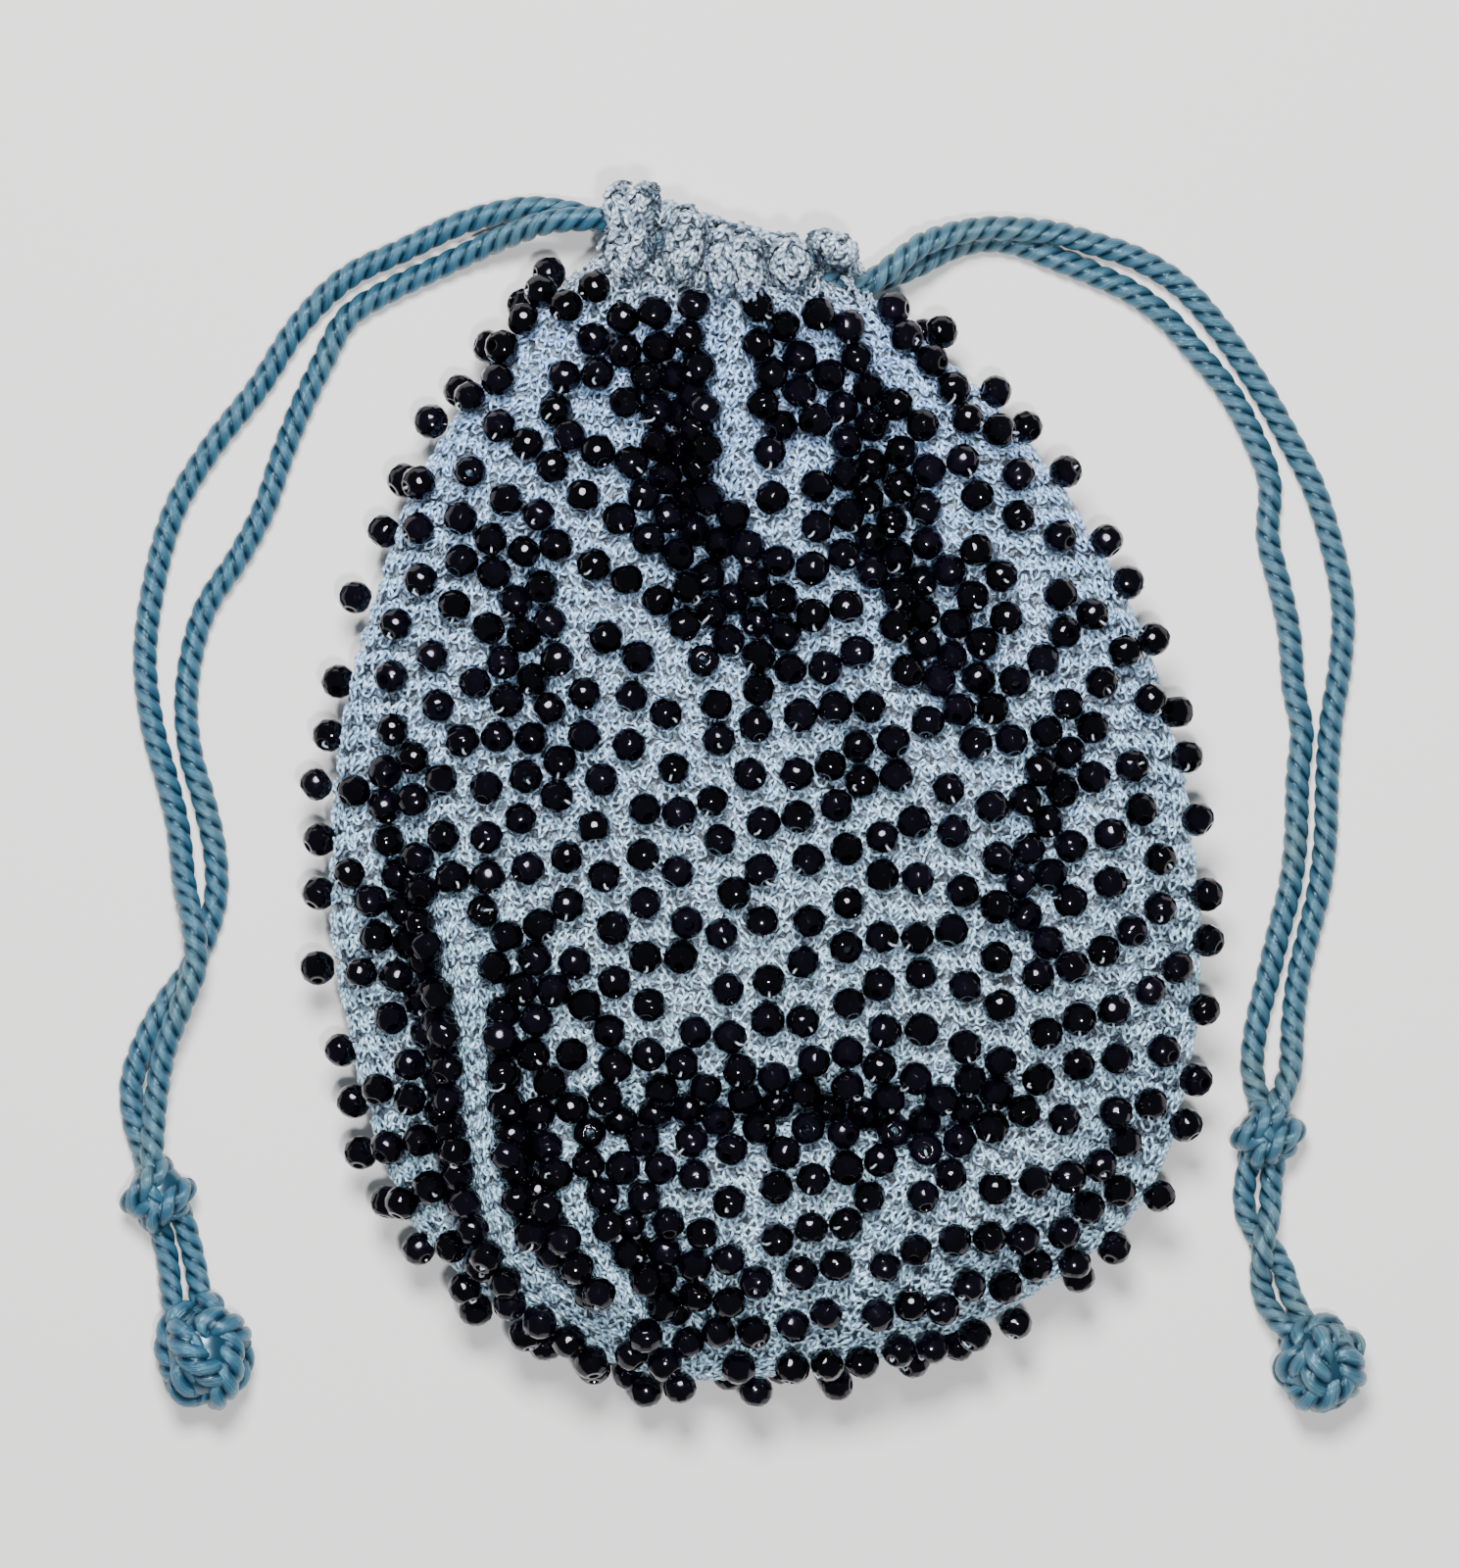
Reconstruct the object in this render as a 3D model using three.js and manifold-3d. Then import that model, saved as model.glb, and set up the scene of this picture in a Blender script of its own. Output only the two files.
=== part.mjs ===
// A crocheted drawstring pouch sewn all over with faceted glass beads, lying on its back.
// It is worn on the wrist by two twisted silk drawstrings that close its gathered neck.
// Millimetres. +X is the width, +Y runs from the round bottom to the neck, +Z is up.
// The origin is on the surface it lies on, under the middle of the pouch.

import * as THREE from 'three';
import { mergeVertices } from 'three/addons/utils/BufferGeometryUtils.js';
import Module from 'manifold-3d';

// Driving dimensions of the crocheted bag
const BAG_WIDTH = 104.4;          // widest crochet, without the beads
const BAG_LENGTH = 139.9;         // from the tip of the round bottom to the rim of the frill
const BAG_PUFF = 15.5;            // the front's crown above the back wall
const BOTTOM_TIP = -69.9;         // Y of the round bottom's lowest stitch
const SEAM_SHARE = 0.3;           // height of the side fold, as a share of the puff
const FRONT_ROUNDNESS = 2.2;      // power of the front's crown curve
const BACK_ROUNDNESS = 4.0;       // power of the back's curve, which lies almost flat
const WALL = 1.6;                 // crochet of silk cord
const GATHERED_WALL = 4.8;        // the same crochet bunched up round the drawn neck
const INSIDE_START = 1.6;         // section at which the hollow starts, above the bottom tip
const FRILL_LOBES = 8;            // puffs of the frill across the front, and as many at the back
const FRILL_DEPTH = 0.9;          // how far each puff stands out
const FOLD_FADE = 6;              // power by which folds fade towards the side fold
const FOLD_END_FROM = -0.15;      // a fold swells between these two shares of its path,
const FOLD_END_TO = 0.25;         // counted from either end
const FRONT_STEPS = 28;           // facets round the front
const BACK_STEPS = 8;             // and round the flat back
const FRONT_CROWDING = 0.06;      // how much closer they stand towards the side folds
const STATION_STEP = 5.9;         // length of one facet from the bottom to the rim

// Driving dimensions of the beads
const BEAD_DIAMETER = 4.15;
const BEAD_SIDES = 10;
const BEAD_BAND = 0.36;           // half the length of the middle row of facets, share of the radius
const BEAD_END = 0.86;            // half the length of the bead, share of the radius
const BEAD_END_RADIUS = 0.46;     // radius of the flat end round the thread hole, share of the radius
const RIM_BEADS = 16;             // beads along the side fold, from neck to neck
const LEFT_RIM_ANGLE = Math.PI;   // where they stand on the section, in the plane of the fold
const RIGHT_RIM_ANGLE = 0.2;      // and a little above it
const TOP_BEAD_PLACE = 15.0;      // section of the uppermost rim beads
const BOTTOM_BEAD_PLACE = 0.6;    // section of the lowest
const BACK_BEAD_ROWS = 4;
const BACK_BEAD_COLUMNS = 3;
const BACK_BEAD_REACH = 0.52;     // outer columns of resting beads, share of half BAG_WIDTH
const BACK_BEAD_FIRST = 0.20;     // lowest and highest row of them, shares of BAG_LENGTH
const BACK_BEAD_LAST = 0.78;
const RIM_TRAIL_STEP = 0.05;      // steps in which the side fold is walked, in sections
const SLOPE_STEP = 0.02;          // step over which the face's slope is taken
const CLEARANCE = 0.3;            // between pieces that touch

// Driving dimensions of the drawstrings
const CORD_DIAMETER = 3.05;
const CORD_SIDES = 8;
const CASING_CORD_DIAMETER = 2.6; // the cord squeezed by the stitches of the casing
const CASING_PLACE = 17.9;        // section of the bag at which the casing runs
const CASING_RUN = 0.497;         // half the straight run, share of the neck's half width
const CASING_TURN = 0.600;        // radius of the turn at the far side, share of half the neck's puff
const OVERHAND_WRAP = 0.42;       // radius of the overhand knot's wrap, share of the knot's length
const OVERHAND_HEART = 0.86;      // heart of the overhand knot inside its wrap, share of its size
const BALL_CORE = 0.82;           // core of the ball knot, share of its radius
const BALL_ROUNDS = 3;            // rounds of cord that cross over the core
const BALL_LEAN = 55;             // their lean from upright, degrees
const BALL_STEPS = 18;
const BALL_ROWS = 11;
const STRAND_STEP = 8.4;          // length of one straight facet of a free cord
const CASING_STEP = 4.5;          // the same inside the casing, where the turn is tight
const CASING_TURN_POINTS = 5;
const KNOT_POINTS = 3;            // last points of a strand's route, which run into its knot

// What rests on the back's beads: a middle facet of each one lies flat on the surface
const BEAD_RADIUS = BEAD_DIAMETER / 2;
const FACET_HEIGHT = BEAD_RADIUS * Math.cos(Math.PI / BEAD_SIDES);
const BACK_HEIGHT = 2 * FACET_HEIGHT + CLEARANCE;

// Sections of the bag from the bottom tip to the rim.
// along: share of BAG_LENGTH. width, shift: shares of half BAG_WIDTH. puff: share of BAG_PUFF.
// lift: share of BACK_HEIGHT. gather: 0 plain crochet, 1 fully bunched. tilt: degrees.
const SECTIONS = [
  { along: 0.000, width: 0.000, shift: -0.110, puff: 0.00, lift: 1.90, gather: 0.0, tilt: 0 },
  { along: 0.008, width: 0.180, shift: -0.090, puff: 0.34, lift: 1.35, gather: 0.0, tilt: 0 },
  { along: 0.026, width: 0.378, shift: -0.034, puff: 0.54, lift: 1.10, gather: 0.0, tilt: 0 },
  { along: 0.055, width: 0.541, shift: -0.007, puff: 0.72, lift: 1.02, gather: 0.0, tilt: 0 },
  { along: 0.098, width: 0.716, shift: 0.007, puff: 0.87, lift: 1.00, gather: 0.0, tilt: 0 },
  { along: 0.152, width: 0.851, shift: 0.027, puff: 0.96, lift: 1.00, gather: 0.0, tilt: 0 },
  { along: 0.220, width: 0.926, shift: 0.034, puff: 1.00, lift: 1.00, gather: 0.0, tilt: 0 },
  { along: 0.304, width: 0.975, shift: 0.027, puff: 1.00, lift: 1.00, gather: 0.0, tilt: 0 },
  { along: 0.396, width: 1.000, shift: 0.014, puff: 1.00, lift: 1.00, gather: 0.0, tilt: 0 },
  { along: 0.497, width: 0.984, shift: 0.002, puff: 0.98, lift: 1.00, gather: 0.0, tilt: 0 },
  { along: 0.598, width: 0.935, shift: -0.011, puff: 0.96, lift: 1.00, gather: 0.0, tilt: 0 },
  { along: 0.682, width: 0.856, shift: -0.023, puff: 0.93, lift: 1.00, gather: 0.0, tilt: 0 },
  { along: 0.762, width: 0.759, shift: -0.041, puff: 0.89, lift: 1.00, gather: 0.0, tilt: -1 },
  { along: 0.829, width: 0.637, shift: -0.041, puff: 0.86, lift: 1.00, gather: 0.0, tilt: -3 },
  { along: 0.880, width: 0.532, shift: -0.041, puff: 0.83, lift: 0.95, gather: 0.1, tilt: -6 },
  { along: 0.916, width: 0.428, shift: -0.034, puff: 0.86, lift: 0.85, gather: 0.4, tilt: -9 },
  { along: 0.940, width: 0.333, shift: -0.043, puff: 0.93, lift: 0.72, gather: 0.9, tilt: -11.5 },
  { along: 0.951, width: 0.317, shift: -0.047, puff: 1.00, lift: 0.60, gather: 1.0, tilt: -12.5 },
  { along: 0.976, width: 0.290, shift: -0.052, puff: 1.00, lift: 0.56, gather: 1.0, tilt: -13.7 },
  { along: 1.000, width: 0.300, shift: -0.052, puff: 1.00, lift: 0.54, gather: 1.0, tilt: -16 },
];

// Beads of the front's crown. place: section, counted from the bottom tip. angle: radians round
// the section from the right side fold.
const FRONT_BEADS = [
  { place: 4.2, angle: 1.20 },
  { place: 7.0, angle: 1.75 },
  { place: 8.4, angle: 1.30 },
  { place: 10.2, angle: 1.70 },
  { place: 12.9, angle: 1.33 },
];

// Folds of the front. rise: share of BAG_PUFF, below zero for a valley. spread: its half width,
// share of half BAG_WIDTH. path: [across, along] through which it runs, shares of half BAG_WIDTH
// from the middle and of BAG_LENGTH from the bottom tip.
const FOLDS = [
  { name: 'left neck valley', rise: -0.34, spread: 0.085,
    path: [[-0.27, 0.925], [-0.19, 0.84], [-0.16, 0.75], [-0.08, 0.68], [0.06, 0.63]] },
  { name: 'middle neck dimple', rise: -0.15, spread: 0.050,
    path: [[0.00, 0.92], [0.03, 0.86], [0.04, 0.79]] },
  { name: 'right neck valley', rise: -0.33, spread: 0.090,
    path: [[0.15, 0.92], [0.23, 0.82], [0.30, 0.73], [0.42, 0.65], [0.52, 0.58]] },
  { name: 'left shoulder dimple', rise: -0.18, spread: 0.060,
    path: [[-0.35, 0.92], [-0.42, 0.87], [-0.49, 0.81]] },
  { name: 'left flank valley', rise: -0.18, spread: 0.070,
    path: [[-0.57, 0.73], [-0.54, 0.64], [-0.49, 0.53]] },
  { name: 'outer pleat valley', rise: -0.32, spread: 0.060,
    path: [[-0.85, 0.53], [-0.82, 0.42], [-0.76, 0.30], [-0.70, 0.20], [-0.62, 0.10]] },
  { name: 'long pleat', rise: 0.20, spread: 0.045,
    path: [[-0.72, 0.42], [-0.66, 0.32], [-0.63, 0.20], [-0.56, 0.12], [-0.36, 0.05]] },
  { name: 'inner pleat valley', rise: -0.28, spread: 0.055,
    path: [[-0.62, 0.31], [-0.55, 0.19], [-0.42, 0.08]] },
  { name: 'short pleat', rise: 0.14, spread: 0.045,
    path: [[-0.46, 0.18], [-0.38, 0.12], [-0.26, 0.05]] },
  { name: 'bottom valley', rise: -0.24, spread: 0.060,
    path: [[-0.35, 0.14], [-0.23, 0.10], [-0.17, 0.05]] },
  { name: 'low cross valley', rise: -0.26, spread: 0.060,
    path: [[-0.46, 0.215], [-0.20, 0.235], [0.12, 0.240], [0.40, 0.225], [0.60, 0.270]] },
  { name: 'right flank valley', rise: -0.20, spread: 0.070,
    path: [[0.72, 0.59], [0.67, 0.47], [0.60, 0.37]] },
  { name: 'middle dimple', rise: -0.12, spread: 0.060,
    path: [[0.21, 0.59], [0.22, 0.55], [0.20, 0.51]] },
  { name: 'right rim valley', rise: -0.16, spread: 0.060,
    path: [[0.88, 0.25], [0.80, 0.18], [0.66, 0.12], [0.45, 0.07]] },
];

// Free stretches of the two drawstrings, as they lie: [x, y, z] of the cord's middle
const LEFT_OUTER_ROUTE = [
  [-19.4, 70.1, 5.4], [-23.5, 71.3, 4.2], [-28.8, 71.8, 2.3], [-35.9, 70.2, 1.6],
  [-42.9, 67.0, 1.6], [-50.2, 63.4, 1.6], [-56.0, 57.6, 1.6], [-60.8, 50.2, 1.6],
  [-66.5, 42.9, 1.6], [-70.9, 35.5, 1.6], [-73.3, 27.3, 1.6], [-74.6, 17.9, 1.6],
  [-73.8, 9.6, 1.6], [-72.0, 2.6, 1.6], [-70.6, -3.3, 1.6], [-69.7, -10.4, 2.9],
  [-68.5, -15.2, 5.1], [-68.2, -20.0, 5.0], [-70.0, -25.1, 4.9], [-71.9, -30.0, 4.2],
  [-73.0, -35.4, 3.6], [-73.2, -39.6, 4.2], [-72.9, -42.7, 4.9],
];
const LEFT_INNER_ROUTE = [
  [-19.4, 70.1, 9.0], [-25.3, 69.8, 7.5], [-29.5, 68.6, 5.3], [-33.5, 67.1, 3.1],
  [-38.5, 64.9, 2.0], [-44.9, 61.9, 1.7], [-50.0, 58.6, 1.6], [-53.0, 53.2, 1.6],
  [-55.8, 47.3, 1.6], [-58.1, 41.4, 1.6], [-60.1, 35.5, 1.6], [-63.2, 29.6, 1.6],
  [-67.0, 23.8, 1.6], [-68.9, 17.9, 1.6], [-69.6, 11.4, 1.6], [-69.0, 5.5, 1.6],
  [-67.5, 0.2, 1.6], [-66.2, -5.6, 1.6], [-65.9, -10.9, 1.6], [-66.9, -15.6, 1.6],
  [-69.0, -20.4, 1.6], [-72.0, -24.5, 1.6], [-74.6, -29.2, 1.6], [-76.2, -34.2, 1.6],
  [-75.9, -39.0, 1.6], [-74.9, -42.7, 2.3],
];
const RIGHT_OUTER_ROUTE = [
  [14.2, 63.0, 9.1], [17.0, 65.1, 8.4], [19.6, 67.1, 7.3], [22.9, 68.4, 5.7],
  [27.1, 69.2, 4.9], [31.2, 69.2, 4.7], [35.9, 68.8, 3.2], [40.6, 67.6, 1.8],
  [45.9, 65.8, 1.6], [51.2, 62.5, 1.6], [55.9, 57.3, 1.6], [60.8, 50.2, 1.6],
  [64.4, 43.8, 1.6], [67.4, 37.9, 1.6], [69.6, 30.8, 1.6], [70.9, 23.8, 1.6],
  [70.6, 16.7, 1.6], [69.5, 9.6, 1.6], [69.0, 2.6, 1.6], [68.8, -4.5, 1.6],
  [68.1, -10.4, 1.6], [66.9, -15.6, 1.6], [65.5, -21.5, 1.6], [64.8, -27.4, 1.6],
  [64.4, -32.7, 2.8], [62.7, -36.9, 4.8],
];
const RIGHT_INNER_ROUTE = [
  [14.2, 62.8, 5.4], [17.2, 64.0, 4.6], [19.8, 65.2, 3.6], [23.2, 67.0, 2.2],
  [27.1, 68.0, 1.6], [31.2, 67.6, 1.6], [35.6, 65.9, 1.6], [40.4, 64.0, 1.6],
  [45.1, 61.8, 1.6], [49.4, 58.6, 1.6], [52.6, 55.0, 1.6], [56.8, 49.9, 1.6],
  [60.0, 44.1, 1.6], [62.0, 38.5, 1.6], [61.8, 32.0, 1.6], [63.2, 26.1, 1.6],
  [64.4, 20.2, 1.6], [64.9, 13.8, 1.6], [65.9, 8.5, 1.6], [65.4, 2.6, 1.6],
  [65.2, -4.5, 1.6], [64.5, -10.4, 1.6], [63.2, -15.6, 1.6], [61.8, -21.5, 1.6],
  [60.4, -27.4, 1.6], [59.9, -32.7, 1.6], [60.8, -36.9, 2.2],
];
const LEFT_TAIL_ROUTES = [
  [[-72.8, -50.9, 2.7], [-71.8, -55.6, 2.4], [-71.0, -61.0, 4.4]],
  [[-69.4, -50.9, 2.7], [-68.4, -55.6, 2.4], [-67.6, -60.6, 4.4]],
];
const RIGHT_TAIL_ROUTES = [
  [[60.0, -43.8, 2.7], [60.2, -49.8, 1.7], [60.9, -56.4, 1.7], [63.9, -63.7, 4.0]],
  [[63.5, -43.8, 2.7], [63.8, -49.8, 1.7], [64.3, -56.0, 1.9], [66.6, -62.4, 4.8]],
];

// The hidden loop of a drawstring in the casing: in at one side, round the far side, and out.
// run: share of the neck's half width. shift: share of the two drawstrings' distance from the
// casing's middle. up: share of the turn's radius.
const CASING_WAY_IN = [
  { run: 1.072, shift: 0.28, up: -0.093 },
  { run: 0.863, shift: 0.60, up: 0.442 },
  { run: 0.654, shift: 1.00, up: 0.837 },
  { run: 0.348, shift: 1.00, up: 1.000 },
  { run: 0.000, shift: 1.00, up: 1.000 },
];
const CASING_WAY_OUT = [
  { run: 0.000, shift: 1.00, up: -1.000 },
  { run: 0.497, shift: 1.00, up: -1.000 },
  { run: 0.824, shift: 0.60, up: -1.000 },
  { run: 1.072, shift: 0.28, up: -1.000 },
];

// Knots at the ends of the drawstrings, as they lie: middle, half sizes across, along and up in
// cord diameters, and the slant or turn of the wraps in degrees. Each one rests on the surface,
// so its middle is as high as its half size up.
const KNOTS = [
  { x: -72.7, y: -46.8, half: [1.279, 1.508, 1.279], slant: 28 },
  { x: 61.6, y: -40.3, half: [1.443, 1.279, 1.246], slant: -24 },
];
const BALLS = [
  { x: -66.8, y: -66.8, half: [1.934, 2.262, 1.934], turn: 20 },
  { x: 68.2, y: -68.0, half: [1.902, 1.967, 1.869], turn: -35 },
];

// Finishes
const silkCrochet = () => new THREE.MeshStandardMaterial({ color: 0x9aaab8, roughness: 0.55, metalness: 0 });
const silkCord = () => new THREE.MeshStandardMaterial({ color: 0x5e8fad, roughness: 0.45, metalness: 0 });
const blackGlass = () => new THREE.MeshStandardMaterial({ color: 0x07070b, roughness: 0.12, metalness: 0 });

// Solid joining and cutting
const MERGE_DISTANCE = 1e-4;
const wasm = await Module();
wasm.setup();

function toSolid(geometry) {
  const bare = geometry.clone();
  bare.deleteAttribute('normal');
  bare.deleteAttribute('uv');
  const merged = mergeVertices(bare, MERGE_DISTANCE);
  const vertProperties = new Float32Array(merged.attributes.position.array);
  const triVerts = new Uint32Array(merged.index.array);
  return new wasm.Manifold(new wasm.Mesh({ numProp: 3, vertProperties, triVerts }));
}

function toGeometry(solid) {
  const mesh = solid.getMesh();
  const geometry = new THREE.BufferGeometry();
  geometry.setAttribute('position', new THREE.BufferAttribute(new Float32Array(mesh.vertProperties), 3));
  geometry.setIndex(new THREE.BufferAttribute(new Uint32Array(mesh.triVerts), 1));
  geometry.computeVertexNormals();
  return geometry;
}

// Smooth value between table rows
function between(before, from, to, after, share) {
  const slopeFrom = (to - before) / 2;
  const slopeTo = (after - from) / 2;
  const a = 2 * from - 2 * to + slopeFrom + slopeTo;
  const b = -3 * from + 3 * to - 2 * slopeFrom - slopeTo;
  return ((a * share + b) * share + slopeFrom) * share + from;
}

function sectionValue(column, place) {
  const last = SECTIONS.length - 1;
  const row = Math.min(Math.floor(place), last - 1);
  const value = (index) => SECTIONS[THREE.MathUtils.clamp(index, 0, last)][column];
  return between(value(row - 1), value(row), value(row + 1), value(row + 2), place - row);
}

// Folds: each is a soft ridge or valley along a curve through its few path points
const foldCurves = FOLDS.map((fold) => {
  const points = fold.path.map(([across, along]) => new THREE.Vector2(
    across * BAG_WIDTH / 2,
    BOTTOM_TIP + along * BAG_LENGTH,
  ));
  return new THREE.SplineCurve(points).getPoints(16);
});

function nearestOnPath(x, y, points) {
  let best = { distance: Infinity, share: 0 };
  for (let i = 0; i < points.length - 1; i += 1) {
    const from = points[i];
    const to = points[i + 1];
    const dx = to.x - from.x;
    const dy = to.y - from.y;
    const lengthSquared = dx * dx + dy * dy;
    const along = THREE.MathUtils.clamp(((x - from.x) * dx + (y - from.y) * dy) / lengthSquared, 0, 1);
    const distance = Math.hypot(x - from.x - along * dx, y - from.y - along * dy);
    if (distance < best.distance) {
      best = { distance, share: (i + along) / (points.length - 1) };
    }
  }
  return best;
}

function foldRise(x, y) {
  let rise = 0;
  FOLDS.forEach((fold, index) => {
    const near = nearestOnPath(x, y, foldCurves[index]);
    const spread = fold.spread * BAG_WIDTH / 2;
    const fade = THREE.MathUtils.smoothstep(near.share, FOLD_END_FROM, FOLD_END_TO)
      * THREE.MathUtils.smoothstep(1 - near.share, FOLD_END_FROM, FOLD_END_TO);
    rise += fold.rise * BAG_PUFF * fade * Math.exp(-((near.distance / spread) ** 2));
  });
  return rise;
}

// A point of the bag: place counts sections, angle runs round from the right side fold over
// the front, and inset is the depth below the outer face
function bagPoint(place, angle, inset) {
  const halfWidth = sectionValue('width', place) * BAG_WIDTH / 2;
  const puff = sectionValue('puff', place) * BAG_PUFF;
  const back = sectionValue('lift', place) * BACK_HEIGHT;
  const tilt = THREE.MathUtils.degToRad(sectionValue('tilt', place));
  const gather = THREE.MathUtils.clamp(sectionValue('gather', place), 0, 1);
  const seam = back + SEAM_SHARE * puff;
  const onFront = Math.sin(angle) > 0;
  const share = Math.abs(Math.cos(angle));
  const power = onFront ? FRONT_ROUNDNESS : BACK_ROUNDNESS;
  const bulge = Math.max(0, 1 - share ** power) ** (1 / power);
  const reach = (onFront ? (1 - SEAM_SHARE) : SEAM_SHARE) * puff - inset;
  const lobe = inset > 0 ? 0 : FRILL_DEPTH * gather * Math.abs(Math.sin(FRILL_LOBES * angle));
  const across = (halfWidth - inset + lobe) * Math.cos(angle);
  const x = sectionValue('shift', place) * BAG_WIDTH / 2 + across * Math.cos(tilt);
  const y = BOTTOM_TIP + sectionValue('along', place) * BAG_LENGTH + across * Math.sin(tilt);
  let z = seam + (onFront ? 1 : -1) * (reach + lobe) * bulge;
  if (onFront) {
    z += (1 - share ** FOLD_FADE) * (1 - gather) * foldRise(x, y);
  }
  return new THREE.Vector3(x, y, z);
}

function wallAt(place) {
  const gather = THREE.MathUtils.clamp(sectionValue('gather', place), 0, 1);
  return WALL + (GATHERED_WALL - WALL) * gather;
}

// The bag's mesh: outer skin from the tip to the rim, over the rim, and down the inside
function bagAngles() {
  const angles = [];
  for (let i = 0; i < FRONT_STEPS; i += 1) {
    const share = i / FRONT_STEPS;
    angles.push(Math.PI * (share + FRONT_CROWDING * Math.sin(2 * Math.PI * share)));
  }
  for (let i = 0; i < BACK_STEPS; i += 1) {
    angles.push(Math.PI * (1 + i / BACK_STEPS));
  }
  return angles;
}

function bagPlaces() {
  const places = [];
  for (let row = 0; row < SECTIONS.length - 1; row += 1) {
    const length = (SECTIONS[row + 1].along - SECTIONS[row].along) * BAG_LENGTH;
    const parts = Math.max(1, Math.round(length / STATION_STEP));
    for (let part = 0; part < parts; part += 1) {
      places.push(row + part / parts);
    }
  }
  places.push(SECTIONS.length - 1);
  return places;
}

function bagGeometry() {
  const angles = bagAngles();
  const outerPlaces = bagPlaces().slice(1);
  const innerPlaces = outerPlaces.filter((place) => place > INSIDE_START);
  innerPlaces.unshift(INSIDE_START);
  innerPlaces.reverse();
  const rings = [
    ...outerPlaces.map((place) => angles.map((angle) => bagPoint(place, angle, 0))),
    ...innerPlaces.map((place) => angles.map((angle) => bagPoint(place, angle, wallAt(place)))),
  ];
  const tip = bagPoint(0, 0, 0);
  const insideEnd = rings[rings.length - 1]
    .reduce((sum, point) => sum.add(point), new THREE.Vector3())
    .divideScalar(angles.length);
  const points = [tip, ...rings.flat(), insideEnd];
  const count = angles.length;
  const index = [];
  for (let i = 0; i < count; i += 1) {
    const next = (i + 1) % count;
    index.push(0, 1 + i, 1 + next);
    for (let ring = 0; ring < rings.length - 1; ring += 1) {
      const low = 1 + ring * count;
      const high = low + count;
      index.push(low + i, high + next, low + next);
      index.push(low + i, high + i, high + next);
    }
    const lastRing = 1 + (rings.length - 1) * count;
    index.push(lastRing + i, points.length - 1, lastRing + next);
  }
  const geometry = new THREE.BufferGeometry().setFromPoints(points);
  geometry.setIndex(index);
  return geometry;
}

// A cord along a route
function roundSection(diameter) {
  const corners = [];
  for (let i = 0; i < CORD_SIDES; i += 1) {
    const angle = (i + 0.5) * 2 * Math.PI / CORD_SIDES;
    corners.push(new THREE.Vector2(Math.cos(angle), Math.sin(angle)).multiplyScalar(diameter / 2));
  }
  return new THREE.Shape(corners);
}

function cordGeometry(route, diameter, step) {
  const points = route.map((point) => new THREE.Vector3(...point));
  const curve = new THREE.CatmullRomCurve3(points, false, 'catmullrom', 0.5);
  const steps = Math.max(2, Math.round(curve.getLength() / step));
  const options = { steps, extrudePath: curve, bevelEnabled: false };
  return new THREE.ExtrudeGeometry(roundSection(diameter), options);
}

// A drawstring's route in the casing, which lies in the thick of the gathered neck
function casingRoute(side) {
  const halfWidth = sectionValue('width', CASING_PLACE) * BAG_WIDTH / 2;
  const puff = sectionValue('puff', CASING_PLACE) * BAG_PUFF;
  const tilt = THREE.MathUtils.degToRad(sectionValue('tilt', CASING_PLACE));
  const turnRadius = CASING_TURN * puff / 2;
  const shift = -side * (CASING_CORD_DIAMETER + CLEARANCE) / 2;
  const middle = new THREE.Vector3(
    sectionValue('shift', CASING_PLACE) * BAG_WIDTH / 2,
    BOTTOM_TIP + sectionValue('along', CASING_PLACE) * BAG_LENGTH,
    sectionValue('lift', CASING_PLACE) * BACK_HEIGHT + puff / 2,
  );
  const turn = Array.from({ length: CASING_TURN_POINTS }, (unused, point) => {
    const angle = Math.PI / 2 + point * Math.PI / (CASING_TURN_POINTS - 1);
    const run = -CASING_RUN + turnRadius / halfWidth * Math.cos(angle);
    return { run, shift: 1, up: Math.sin(angle) };
  });
  return [...CASING_WAY_IN, ...turn, ...CASING_WAY_OUT].map((point) => {
    const across = side * point.run * halfWidth;
    const lengthwise = point.shift * shift;
    return [
      middle.x + across * Math.cos(tilt) - lengthwise * Math.sin(tilt),
      middle.y + across * Math.sin(tilt) + lengthwise * Math.cos(tilt),
      middle.z + point.up * turnRadius,
    ];
  });
}

// The overhand knot: a rounded heart with one slanted wrap
function overhandSolid(knot) {
  const [halfAcross, halfAlong, halfUp] = knot.half.map((size) => size * CORD_DIAMETER);
  const heart = new THREE.SphereGeometry(1, 8, 6);
  heart.scale(halfAcross * OVERHAND_HEART, halfAlong, halfUp * OVERHAND_HEART);
  const wrap = new THREE.TorusGeometry(1, OVERHAND_WRAP, 5, 9);
  wrap.rotateX(Math.PI / 2);
  wrap.scale(halfAcross / (1 + OVERHAND_WRAP), halfAlong * OVERHAND_HEART, halfUp / (1 + OVERHAND_WRAP));
  wrap.rotateZ(THREE.MathUtils.degToRad(knot.slant));
  const solid = toSolid(heart).add(toSolid(wrap));
  return solid.translate([knot.x, knot.y, halfUp]);
}

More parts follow.
